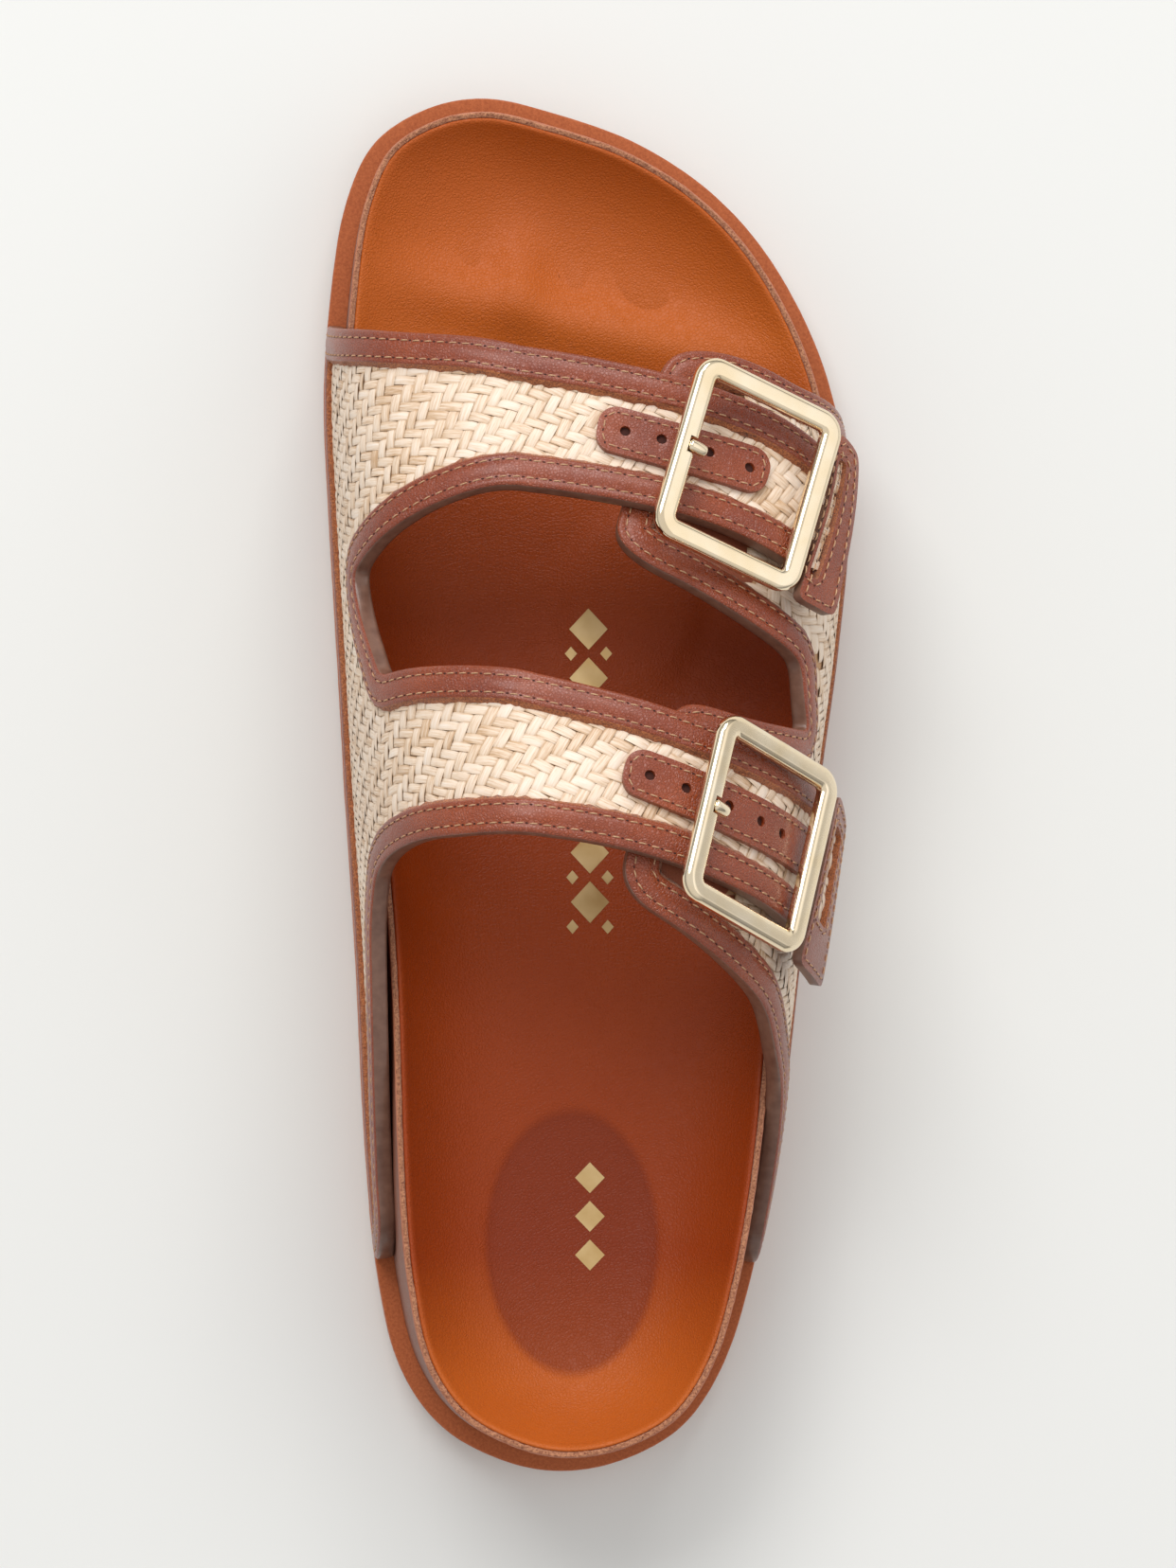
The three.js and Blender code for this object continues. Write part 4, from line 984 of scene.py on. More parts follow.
def cup_lining():
    """The lining of the cup, rounded over at its rim."""
    stations = 420
    turn = turns(stations)
    inset = rim_inset(turn) + RIM_WRAP + GAP
    reaches = np.concatenate([np.linspace(0, 0.7, 24), np.linspace(0.7, 0.975, 28)[1:]])
    rings = [ring(turn, inset, reach, cup_height) for reach in reaches]
    for over, drop in LINING_RIM:
        level = lambda x, y, t, r, drop=drop: rim_height(t) - drop
        rings.append(ring(turn, inset + over, 1, level))
    rings += [
        ring(turn, inset + 1.2, reach, lambda x, y, t, r: footbed_height(x, y, t, r) - LINING_UNDER)
        for reach in (0.98, 0.9, 0.7, 0.35, 0.0)
    ]
    piece = make_piece(
        "cup_lining", np.vstack(rings), ring_faces(len(rings), stations), [CUP_LEATHER],
        weld=0.02, closed=True,
    )
    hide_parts("insole")
    return piece


cup = cup_lining()


def inside_loops(points, loops):
    """Which points lie inside the first loop and outside the others, by crossings."""
    inside = np.zeros(len(points), bool)
    for loop in loops:
        a = loop
        b = np.roll(loop, -1, axis=0)
        for (ax, ay), (bx, by) in zip(a, b):
            if ay == by:
                continue
            spans = (ay > points[:, 1]) != (by > points[:, 1])
            cross = ax + (points[:, 1] - ay) * (bx - ax) / (by - ay)
            inside ^= spans & (points[:, 0] < cross)
    return inside


# Rough millimetres to a share along the sole and to a rise, for laying out a cut piece flat
CHART = np.array([SOLE_LENGTH, 180.0])


def cut_piece(name, side, loops, low, high, finishes, spacing=3.0, bare=None):
    """A flat cut over the last between two heights. The first loop is its outline.

    finishes: of its face, its outer wall, the walls of its holes and its back, where bare(places)
    picks the parts of the face that show the back's."""
    flat = [loop * CHART for loop in loops]
    lowest = flat[0].min(axis=0)
    highest = flat[0].max(axis=0)
    grid = np.stack(np.meshgrid(
        np.arange(lowest[0], highest[0], spacing), np.arange(lowest[1], highest[1], spacing),
    ), axis=-1).reshape(-1, 2)
    grid = grid[inside_loops(grid, flat)]
    every = np.vstack(flat)
    near = np.array([np.hypot(*(every - point).T).min() for point in grid]) if len(grid) else np.zeros(0)
    grid = grid[near > spacing * 0.4]
    points = np.vstack([every, grid])
    edges = []
    start = 0
    for loop in flat:
        count = len(loop)
        edges += [(start + i, start + (i + 1) % count) for i in range(count)]
        start += count
    found = delaunay_2d_cdt([Vector(point) for point in points], edges, [], 0, 1e-6)
    places = np.array([tuple(v) for v in found[0]])
    faces = np.array(found[2])
    faces = faces[inside_loops(places[faces].mean(axis=1), flat)]
    rim = {(int(a), int(b)) for face in faces for a, b in zip(face, np.roll(face, -1))}
    count = len(places)
    shares = places / CHART
    solid = np.vstack([drape(side, shares, high), drape(side, shares, low)])
    walls, kinds = [], []
    for a, b in sorted(rim):
        if (b, a) in rim:
            continue
        walls.append((b, a, a + count, b + count))
        middle = (places[a] + places[b]) / 2
        spans = [np.hypot(*(loop - middle).T).min() for loop in flat]
        kinds.append(min(1 if spans[0] == min(spans) else 2, len(finishes) - 1))
    sheets = [tuple(face) for face in faces] + [tuple(face[::-1] + count) for face in faces]
    back = 3 if len(finishes) > 3 else 0
    fronts = np.where(bare(shares[faces].mean(axis=1)), back, 0) if bare else np.zeros(len(faces), int)
    picks = list(fronts) + [back] * len(faces) + kinds
    return make_piece(name, solid, sheets + walls, finishes, picks, weld=0.001, closed=True)


def apply_modifier(piece, name, kind, **settings):
    modifier = piece.modifiers.new(name, kind)
    for key, value in settings.items():
        setattr(modifier, key, value)
    bpy.context.view_layer.objects.active = piece
    with bpy.context.temp_override(object=piece, active_object=piece, selected_objects=[piece]):
        bpy.ops.object.modifier_apply(modifier=modifier.name)


def round_edges(piece, width):
    """Rounds the sharp edges of a cut piece."""
    apply_modifier(
        piece, "rounded edge", "BEVEL", width=width * MM, segments=3, limit_method="ANGLE",
        angle_limit=math.radians(50), harden_normals=False,
    )
    piece.data.shade_smooth()


# Rise from which the outer quarter is bare leather, under the straps
TONGUE_FROM = 0.29
LINING_FINISHES = [BACKING, EDGE_PAINT, EDGE_PAINT, UNDER_LEATHER]


def on_tongue(places):
    return places[:, 1] > TONGUE_FROM


cut_piece(
    "lining_inner_quarter", on_medial, [MEDIAL_LINE], QUARTER_INNER, LINING_TOP, LINING_FINISHES,
)
cut_piece(
    "lining_outer_quarter", on_lateral, [LATERAL_LINE], QUARTER_INNER, LINING_TOP, LINING_FINISHES,
    bare=on_tongue,
)

# Section of a binding from under its edge over to its inner edge: distance in, height, finish
BINDING_SECTION = [
    (1.6, QUARTER_INNER - 0.02, 0),
    (0.3, QUARTER_INNER - 0.03, 1),
    (0.02, QUARTER_INNER + 0.12, 1),
    (-0.14, QUARTER_INNER + 0.5, 1),
    (-0.16, QUARTER_INNER + 1.3, 1),
    (-0.14, BORDER_PROUD - 0.75, 1),
    (-0.04, BORDER_PROUD - 0.34, 1),
    (0.16, BORDER_PROUD - 0.12, 0),
    (0.5, BORDER_PROUD + 0.0, 0),
    (1.0, BORDER_PROUD + 0.0, 0),
    (OUTER_STITCH, BORDER_PROUD - 0.16, 0),
    (2.0, BORDER_PROUD + 0.02, 0),
    (2.7, BORDER_PROUD + 0.1, 0),
    (3.6, BORDER_PROUD + 0.1, 0),
    (4.25, BORDER_PROUD + 0.02, 0),
    (INNER_STITCH, BORDER_PROUD - 0.16, 0),
    (5.3, BORDER_PROUD - 0.02, 0),
    (5.6, BORDER_PROUD - 0.08, 0),
    (5.82, BORDER_PROUD - 0.26, 0),
    (5.98, BORDER_PROUD - 0.48, 2),
    (6.2, BORDER_PROUD - 0.8, 2),
    (6.45, BORDER_PROUD - 1.2, 2),
    (6.6, BORDER_PROUD - 1.7, 2),
]
BINDING_FINISHES = [BINDING, EDGE_PAINT, RAW_SUEDE]
RAW_FUZZ = 0.13


def binding(name, side, line, node):
    """A binding along an edge: its outer edge painted, its inner edge raw."""
    distances = [row[0] for row in BINDING_SECTION]
    places, _ = inset_lines(side, line, distances)
    count = len(line)
    rng = np.random.default_rng(count)
    rough = [RAW_FUZZ if row[2] == 2 else 0.0 for row in BINDING_SECTION]
    rows = [
        drape(side, place, row[1]) + rng.normal(0, 1, (count, 3)) * size
        for place, row, size in zip(places, BINDING_SECTION, rough)
    ]
    faces = ring_faces(len(rows), count, False)
    picks = np.repeat([row[2] for row in BINDING_SECTION[1:]], count - 1)
    piece = make_piece(name, np.vstack(rows), faces, BINDING_FINISHES, picks)
    face_up(piece)
    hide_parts(node)


def face_up(piece):
    """Turns an open skin so that its faces look away from the last."""
    faces = [face for face in piece.data.polygons if face.material_index == 0]
    if sum(face.normal.z * face.area for face in faces) < 0:
        piece.data.flip_normals()


# A stitch from end to end: place along its half length, thickness, height over the leather
STITCH_SECTION = [
    (-1.0, 0.35, -0.34), (-0.72, 0.85, -0.02), (0.0, 1.0, 0.05), (0.72, 0.85, -0.02), (1.0, 0.35, -0.34),
]
STITCH_SIDES = 6
STITCH_SLANT = 0.06
STITCH_PROUD = 0.06


def stitches(name, rows):
    """Saddle stitches along lines of points and outward normals, and the needle holes between them as flat
    discs of painted shade.
    """
    around = STITCH_SIDES
    points, faces, picks = [], [], []
    for line, normals in rows:
        lengths = lengths_along(line)
        count = int(lengths[-1] / STITCH_PITCH)
        for k in range(count):
            at = (k + 0.5) * lengths[-1] / count
            normal = points_at(at, lengths, normals)
            middle = points_at(at, lengths, line)
            along = points_at(at + STITCH_LENGTH / 2, lengths, line)
            along = along - points_at(at - STITCH_LENGTH / 2, lengths, line)
            along /= np.linalg.norm(along)
            normal /= np.linalg.norm(normal)
            across = np.cross(normal, along)
            start = len(points)
            for s, t, z in STITCH_SECTION:
                for a in range(around):
                    angle = 2 * np.pi * a / around
                    points.append(
                        middle
                        + along * s * STITCH_LENGTH / 2
                        + across * (np.cos(angle) * STITCH_WIDTH / 2 * t + STITCH_SLANT * s)
                        + normal * (np.sin(angle) * STITCH_WIDTH / 2 * t + z + STITCH_PROUD)
                    )
            for r in range(len(STITCH_SECTION) - 1):
                for a in range(around):
                    b = (a + 1) % around
                    faces.append((
                        start + r * around + a, start + r * around + b,
                        start + (r + 1) * around + b, start + (r + 1) * around + a,
                    ))
                    picks.append(0)
            # A needle hole: a flat disc of painted shade
            hole = middle + along * STITCH_PITCH / 2
            start = len(points)
            for a in range(around):
                angle = 2 * np.pi * a / around
                points.append(
                    hole + along * np.cos(angle) * 0.3 + across * np.sin(angle) * 0.17 + normal * 0.03
                )
            faces.append(tuple(start + a for a in range(around)))
            picks.append(1)
    make_piece(name, points, faces, [THREAD, HOLE_SHADE], picks)


def stitch_rows(side, line, distance, height, closed=False):
    """Lines and normals of a row of stitches inside an edge, broken where the mitres leave no room."""
    places, kept = inset_lines(side, line, [distance], closed)
    roomy = kept[0] > distance - 0.3
    if closed and not roomy.all():
        start = int(np.argmin(roomy))
        places, roomy = np.roll(places, -start, axis=1), np.roll(roomy, -start)
    elif closed:
        places, roomy = np.concatenate([places, places[:, :1]], axis=1), np.append(roomy, True)
    rows = []
    for run in np.split(np.arange(len(roomy)), np.flatnonzero(np.diff(roomy.astype(int))) + 1):
        if roomy[run[0]] and len(run) > 4:
            spots = evenly(side, places[0][run], 0.8)
            points = drape(side, spots, height)
            rows.append((points, drape(side, spots, height + 1.0) - points))
    return rows


STITCH_LEVEL = BORDER_PROUD - 0.12
for name, side, line, node in (
    ("inner_rear", on_medial, MEDIAL_LINES["rear"], "border_medial_rear"),
    ("inner_window", on_medial, MEDIAL_LINES["window"], "border_medial_window"),
    ("inner_front", on_medial, MEDIAL_LINES["front"], "border_medial_front"),
    ("outer", on_lateral, LATERAL_LINE, "border_lateral"),
):
    binding(f"binding_{name}", side, line, node)
    stitches(
        f"stitching_{name}",
        stitch_rows(side, line, OUTER_STITCH, STITCH_LEVEL)
        + stitch_rows(side, line, INNER_STITCH, STITCH_LEVEL),
    )

# Part of the sole that the upper covers
UPPER_SHARES = (0.12, 0.88)


def arc_table(share_count, rise_count):
    """Lengths around the last from the inner ledge and from the outer one, in millimetres."""
    shares = np.linspace(*UPPER_SHARES, share_count)
    rises = np.linspace(0, 1, rise_count)
    grid_share, grid_rise = np.meshgrid(shares, rises, indexing="ij")
    points = last_point(grid_share, grid_rise)
    steps = np.linalg.norm(np.diff(points, axis=1), axis=2)
    medial = np.concatenate([np.zeros((share_count, 1)), np.cumsum(steps, axis=1)], axis=1)
    lateral = np.concatenate([np.zeros((share_count, 1)), np.cumsum(steps[:, ::-1], axis=1)], axis=1)
    return shares, rises, {"medial": medial, "lateral": lateral}


ARC_SHARES, ARC_RISES, ARCS = arc_table(60, 200)


def rise_at(side_name, share, length):
    """Rise of the point that lies a length up from the ledge."""
    table = ARCS[side_name]
    at = np.clip((share - ARC_SHARES[0]) / (ARC_SHARES[1] - ARC_SHARES[0]), 0, len(ARC_SHARES) - 1.001)
    low = at.astype(int)
    part = at - low
    found = np.empty_like(share)
    for row in np.unique(low):
        own = low == row
        a = np.interp(length[own], table[row], ARC_RISES)
        b = np.interp(length[own], table[row + 1], ARC_RISES)
        found[own] = mix(a, b, part[own])
    return found


def weave(name, side, side_name, course, outline, edges, margin, node, seed, top=QUARTER_OUTER, bare=None):
    """Flat raffia strips, two over and two under, as one arched ribbon for each stretch on top.

    course(lengths, shares): where the straight cloth's points lie once it follows the straps, and
    which of them fall between the straps."""
    rng = np.random.default_rng(seed)
    low_share, high_share = outline[:, 0].min() - 0.1, outline[:, 0].max() + 0.25
    columns = np.arange(
        int(low_share * SOLE_LENGTH / COLUMN_PITCH), int(high_share * SOLE_LENGTH / COLUMN_PITCH),
    )
    i, j = np.meshgrid(np.arange(*CLOTH_ROWS), columns, indexing="ij")
    phase = (i - j) % 4
    up = phase == 0
    over = phase == 3
    middles = np.concatenate([
        np.column_stack([i[up] + 1.0, j[up] + 0.5]), np.column_stack([i[over] + 0.5, j[over] + 1.0]),
    ]) * (ROW_PITCH, COLUMN_PITCH)
    is_up = np.concatenate([np.ones(up.sum(), bool), np.zeros(over.sum(), bool)])

    def to_place(lengths, widths):
        off = widths - SOLE_LENGTH / 2
        turned = SOLE_LENGTH / 2 + off * math.cos(CLOTH_TURN) - lengths * math.sin(CLOTH_TURN)
        lengths = lengths * math.cos(CLOTH_TURN) + off * math.sin(CLOTH_TURN)
        lengths, share, between = course(lengths, turned / SOLE_LENGTH)
        rise = rise_at(side_name, np.clip(share, *UPPER_SHARES), np.maximum(lengths, 0))
        return np.stack([share, rise], axis=-1), between

    places, between = to_place(middles[:, 0], middles[:, 1])
    inside = inside_loops(places, [outline]) & ~between
    middles, is_up, places = middles[inside], is_up[inside], places[inside]
    edge_points = drape(side, edges, 0.0)
    nearest = np.linalg.norm(drape(side, places, 0.0)[:, None] - edge_points[None], axis=2).min(axis=1)
    kept = nearest > margin
    if bare:
        kept &= ~bare(places)
    middles, is_up = middles[kept], is_up[kept]
    a, b = np.meshgrid(np.linspace(-1, 1, STRIP_ALONG), np.linspace(-1, 1, STRIP_ACROSS), indexing="ij")
    a, b = a.ravel()[None], b.ravel()[None]
    count = len(middles)
    upward = is_up[:, None]
    reach = np.where(upward, ROW_PITCH, COLUMN_PITCH) + STRIP_TUCK
    width = np.where(upward, COLUMN_PITCH, ROW_PITCH) / 2 * rng.uniform(0.93, 1.04, (count, 1))
    run = a * reach
    side_way = b * width * (1 - 0.08 * a**4) + rng.normal(0, 0.03, (count, 1)) * run
    lengths = middles[:, :1] + np.where(upward, run, side_way)
    widths = middles[:, 1:] + np.where(upward, side_way, run)
    crown = rng.uniform(0.8, 1.15, (count, 1))
    arch = 1 - np.abs(a) ** 3
    height = top + crown * RAFFIA_RELIEF * (arch - 0.85) + 0.13 * (1 - b**2) * (0.4 + 0.6 * arch)
    height = height + rng.normal(0, 0.04, (count, 1)) * b
    spots, _ = to_place(lengths, widths)
    points = side(spots[..., 0], spots[..., 1], height)
    whole = np.ptp(points, axis=1).max(axis=1) < LONGEST_STRIP
    points, run, width, count = points[whole].reshape(-1, 3), run[whole], width[whole], int(whole.sum())
    size = a.size
    quads = np.array([
        (start, start + 1, start + STRIP_ACROSS + 1, start + STRIP_ACROSS)
        for start in range(size - STRIP_ACROSS) if (start + 1) % STRIP_ACROSS
    ])
    faces = (quads[None] + (np.arange(count) * size)[:, None, None]).reshape(-1, 4)
    piece = make_piece(name, points, faces, [RAFFIA])
    mesh = piece.data
    # Each strip's own random tone, with painted shade at its edges and where its ends dive under the crossing
    # strips
    tone = (rng.beta(8, 5.5, (count, 1)) - 0.3 * b**4 - 0.35 * a**6).ravel()
    attribute = mesh.attributes.new("straw", "FLOAT", "POINT")
    attribute.data.foreach_set("value", tone.astype(np.float32))
    strip_uv = np.stack([
        np.broadcast_to(run, (count, size)) + rng.uniform(0, 400, (count, 1)),
        np.broadcast_to(b * width, (count, size)) + rng.uniform(0, 400, (count, 1)),
    ], axis=-1).reshape(-1, 2)
    corners = np.empty(len(mesh.loops), np.int32)
    mesh.loops.foreach_get("vertex_index", corners)
    layer = mesh.uv_layers.new(name="strip")
    layer.data.foreach_set("uv", strip_uv[corners].astype(np.float32).ravel())
    turn_ribbons(mesh)
    if node:
        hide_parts(node)


def turn_ribbons(mesh):
    """Turns the ribbons whose faces look to the line that runs through the foot."""
    centre = Vector((-6 * MM, 0, 20 * MM))
    wrong = []
    for face in mesh.polygons:
        away = Vector((face.center.x - centre.x, 0, face.center.z - centre.z))
        if face.normal.dot(away) < 0:
            wrong.append(face.index)
    shaped = bmesh.new()
    shaped.from_mesh(mesh)
    shaped.faces.ensure_lookup_table()
    bmesh.ops.reverse_faces(shaped, faces=[shaped.faces[i] for i in wrong])
    shaped.to_mesh(mesh)
    shaped.free()


# Section of the strip at the upper's foot: length up, height, finish
FOOT_SECTION = [
    (-0.2, -0.4, 0), (-0.1, 0.6, 0), (1.0, 0.7, 0), (3.2, 0.72, 0), (4.6, 0.66, 0), (5.1, 0.45, 0),
    (5.3, 0.2, 2), (5.45, -0.15, 2), (5.5, -0.55, 2), (5.5, -1.0, 2),
]
# How far the strip stops short of the quarter's ends, as a share of the sole
FOOT_SHORT = 0.004


def foot_strip(name, side, side_name, low, high):
    """A leather strip round the foot of a quarter, its upper edge raw."""
    count = 340
    shares = np.linspace(low, high, count)
    rng = np.random.default_rng(count + len(side_name))
    rows = []
    for up, height, finish in FOOT_SECTION:
        rough = rng.normal(0, 0.09 if finish else 0.0, (2, count))
        rises = rise_at(side_name, shares, np.maximum(up + rough[0], 0))
        row = drape(side, np.column_stack([shares, rises]), height + rough[1])
        row[:, 2] += min(up, 0)
        rows.append(row)
    picks = np.repeat([row[2] for row in FOOT_SECTION[1:]], count - 1)
    faces = ring_faces(len(rows), count, False)
    piece = make_piece(name, np.vstack(rows), faces, BINDING_FINISHES, picks)
    outward = Vector((side(np.array(0.4), np.array(0.0), np.array(0.0))[0], 0, 0))
    if sum(face.normal.dot(outward) * face.area for face in piece.data.polygons) < 0:
        piece.data.flip_normals()


foot_strip(
    "foot_strip_inner", on_medial, "medial", MEDIAL_TAIL[0, 0] + FOOT_SHORT, MEDIAL_FRONT_FOOT - FOOT_SHORT,
)
foot_strip(
    "foot_strip_outer", on_lateral, "lateral", LATERAL_TAIL[0, 0] + FOOT_SHORT,
    LATERAL_FRONT_FOOT - FOOT_SHORT,
)


def strap_track(side_name, table):
    """The middle line of a strap: its length up from the ledge and its share along the sole."""
    shares = (table[:, 1] + table[:, 3]) / 2
    rises = (table[:, 0] + table[:, 2]) / 2
    rows = np.round((shares - ARC_SHARES[0]) / (ARC_SHARES[1] - ARC_SHARES[0])).astype(int)
    lengths = np.array([np.interp(rise, ARC_RISES, ARCS[side_name][row]) for rise, row in zip(rises, rows)])
    order = np.argsort(lengths)
    return lengths[order], shares[order]


# How far above the straps' roots no cloth lies between them, how far to each side the lean of a
# strap is read, and over how much of the sole the cloth passes from one strap to the other
VOID_START = 5.0
LEAN_SPAN = 7
SPLIT_HALF = 0.02
# The cloth ends this far under a binding's inner edge
CLOTH_MARGIN = BORDER_WIDTH - 1.4


def quarter_course(side_name, rear, front, split):
    """How the cloth of a quarter bends along its two straps."""
    tracks = [strap_track(side_name, rear), strap_track(side_name, front)]

    def course(lengths, share):
        between = (lengths > tracks[0][0][0] + VOID_START) & (share > rear[0, 3]) & (share < front[0, 1])
        bent = []
        for marks, middles in tracks:
            middle = np.interp(lengths, marks, middles)
            ahead = np.interp(lengths + LEAN_SPAN, marks, middles)
            ahead = ahead - np.interp(lengths - LEAN_SPAN, marks, middles)
            lean = np.arctan(ahead * SOLE_LENGTH / (2 * LEAN_SPAN))
            off = (share - middles[0]) * SOLE_LENGTH
            bent.append((lengths - off * np.sin(lean), middle + off * np.cos(lean) / SOLE_LENGTH))
        part = smooth_step(share, split - SPLIT_HALF, split + SPLIT_HALF)
        return mix(bent[0][0], bent[1][0], part), mix(bent[0][1], bent[1][1], part), between

    return course


weave(
    "raffia_inner_quarter", on_medial, "medial",
    quarter_course("medial", MEDIAL_REAR_STRAP, MEDIAL_FRONT_STRAP, 0.607),
    MEDIAL_LINE, MEDIAL_LINE, CLOTH_MARGIN, "upper_medial", 3,
)
weave(
    "raffia_outer_quarter", on_lateral, "lateral",
    quarter_course("lateral", LATERAL_REAR_TONGUE, LATERAL_FRONT_TONGUE, 0.556),
    LATERAL_LINE, LATERAL_LINE, CLOTH_MARGIN, "upper_lateral", 4, bare=on_tongue,
)


def strap_middle(table, rise):
    """Share of a strap's middle at a rise."""
    rear = through_rows(table[:, 0], table[:, 1], rise)
    front = through_rows(table[:, 2], table[:, 3], rise)
    return (rear + front) / 2


def patch_place(table, start, end, along, across):
    """Places on a strap of points along and across its hole strip, and the strip's length."""
    rises = np.linspace(start - 0.03, end + 0.03, 80)
    line = np.column_stack([strap_middle(table, rises), rises])
    lengths = lengths_along(drape(on_medial, line, 0.0))
    origin = np.interp(start, rises, lengths)
    at = np.asarray(along, float) + origin
    place = points_at(at, lengths, line)
    ahead = points_at(at + 0.5, lengths, line)
    tangent = unit_rows(drape(on_medial, ahead, 0.0) - drape(on_medial, place, 0.0))
    a, b = stretch(on_medial, place)
    cross = np.cross(tangent, unit_rows(np.cross(a, b)))
    cross *= np.sign((cross * a).sum(axis=1, keepdims=True))
    moved = shift(on_medial, place, cross * np.asarray(across, float)[:, None])
    return moved, float(np.interp(end, rises, lengths) - origin)


def rounded_box(length, width, corner):
    """Outline of a rounded strip from 0 to its length, walked clockwise seen from above."""
    points = []
    steps = 6
    for cx, cy, start in (
        (length - corner, width / 2 - corner, 0.0),
        (corner, width / 2 - corner, math.pi / 2),
        (corner, -width / 2 + corner, math.pi),
        (length - corner, -width / 2 + corner, 1.5 * math.pi),
    ):
        for k in range(steps + 1):
            angle = start + math.pi / 2 * k / steps
            points.append((cx + corner * math.cos(angle), cy + corner * math.sin(angle)))
    return np.array(points)


def circle(x, radius, steps):
    """A circle on the middle line of a strip."""
    angles = np.arange(steps) * 2 * np.pi / steps
    return np.column_stack([x + radius * np.cos(angles), radius * np.sin(angles)])


PATCH_LOW = QUARTER_OUTER - 0.5
PATCH_HIGH = QUARTER_OUTER + GAP + PATCH_WALL
PATCH_CORNER = 3.4
PATCH_STITCH = 1.15
HOLE_DEPTH = 0.75
HOLE_RADIUS = 0.95
HOLE_SPOTS = {"front": (5.0, 11.6, 20.4, 28.2), "rear": (4.6, 11.4, 20.0, 27.4, 33.4)}


def clockwise(loop):
    """The loop with its inside on its right."""
    x, y = loop.T
    return loop if (x * np.roll(y, -1) - np.roll(x, -1) * y).sum() < 0 else loop[::-1]


def edge_length(line):
    """Millimetres over the last between a line's two ends."""
    ends = drape(on_medial, line, 0.0)
    return float(np.linalg.norm(ends[1] - ends[0]))


for place, table in (("front", MEDIAL_FRONT_STRAP), ("rear", MEDIAL_REAR_STRAP)):
    start, end = PATCHES[place]
    _, length = patch_place(table, start, end, [0.0], [0.0])
    outline = rounded_box(length, PATCH_WIDTH, PATCH_CORNER)
    outline, _ = patch_place(table, start, end, outline[:, 0], outline[:, 1])
    outline = clockwise(evenly(on_medial, outline, 0.8, closed=True))
    loops = [outline]
    for spot in HOLE_SPOTS[place]:
        hole = circle(spot, HOLE_RADIUS, 14)
        hole, _ = patch_place(table, start, end, hole[:, 0], hole[:, 1])
        loops.append(hole)
    patch = cut_piece(
        f"hole_strip_{place}", on_medial, loops, PATCH_LOW, PATCH_HIGH, [BINDING], spacing=1.3,
    )
    round_edges(patch, 0.34)
    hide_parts(f"hole_patch_{place}")
    stitches(
        f"stitching_hole_strip_{place}",
        stitch_rows(on_medial, outline, PATCH_STITCH, PATCH_HIGH, closed=True),
    )
    # Flat discs of painted shade at the bottom of the punched holes
    points, faces = [], []
    for spot in HOLE_SPOTS[place]:
        loop = circle(spot, HOLE_RADIUS * 1.1, 12)
        found, _ = patch_place(table, start, end, loop[:, 0], loop[:, 1])
        faces.append(tuple(range(len(points), len(points) + len(found))))
        points += list(drape(on_medial, found, PATCH_HIGH - HOLE_DEPTH))
    make_piece(f"hole_shade_{place}", points, faces, [HOLE_SHADE])

TAB_LOW = BORDER_PROUD + 0.05
TAB_HIGH = BORDER_PROUD + GAP + TAB_WALL
TAB_BORDER = 5.2
TAB_STITCH = 1.3
# The raffia window of a flap: leather left at its two ends and at its near side
WINDOW_ENDS = {"front": (5.2, 5.2), "rear": (10.0, 5.2)}
WINDOW_START = {"front": 0.6, "rear": 2.6}
WINDOW_STITCH = 1.0
WINDOW_DEPTH = 1.1

for place, corners in TABS.items():
    outline = evenly(on_medial, corners, 0.7, closed=True)
    outline = clockwise(soften(outline, 9, closed=True))
    near = (corners[0] + corners[1]) / 2
    far = (corners[2] + corners[3]) / 2
    half = (corners[1] - corners[0]) / 2
    depth = edge_length(np.array([near, far]))
    long = edge_length(corners[:2])
    ends = [1 - 2 * border / long for border in WINDOW_ENDS[place]]
    low = WINDOW_START[place] / depth
    high = max(1 - TAB_BORDER / depth, low + 0.2)
    window = np.array([
        mix(near, far, level) + half * way
        for level, way in ((low, -ends[0]), (low, ends[1]), (high, ends[1]), (high, -ends[0]))
    ])
    window = clockwise(soften(evenly(on_medial, window, 0.5, closed=True), 5, closed=True))
    tab = cut_piece(
        f"buckle_flap_{place}", on_medial, [outline, window], TAB_LOW, TAB_HIGH,
        BINDING_FINISHES, spacing=1.6,
    )
    round_edges(tab, 0.4)
    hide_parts(f"buckle_tab_{place}")
    stitches(
        f"stitching_flap_{place}",
        stitch_rows(on_medial, outline, TAB_STITCH, TAB_HIGH, closed=True)
        + stitch_rows(on_medial, window[::-1], WINDOW_STITCH, TAB_HIGH, closed=True),
    )
    weave(
        f"raffia_flap_{place}", on_medial, "medial", lambda lengths, share: (lengths, share, share > 1),
        window, window, -1.0, None, 7, top=TAB_HIGH - WINDOW_DEPTH,
    )


def frame_matrix(data):
    """Place and turn of a buckle over the last, in millimetres."""
    turn, fall, bank = (math.radians(data[key]) for key in ("turn", "fall", "bank"))
    along = np.array([math.cos(turn) * math.cos(fall), math.sin(turn) * math.cos(fall), -math.sin(fall)])
    level = np.array([-math.sin(turn), math.cos(turn), 0.0])
    upright = np.cross(along, level)
    across = level * math.cos(bank) + upright * math.sin(bank)
    normal = np.cross(along, across)
    share = np.array(data["share"])
    rise = np.array(data["rise"])
    spot = last_point(share, rise) + last_normal(share, rise) * data["lift"]
    matrix = Matrix.Identity(4)
    for row in range(3):
        matrix[row][0], matrix[row][1], matrix[row][2] = along[row], across[row], normal[row]
        matrix[row][3] = spot[row] * MM
    return matrix


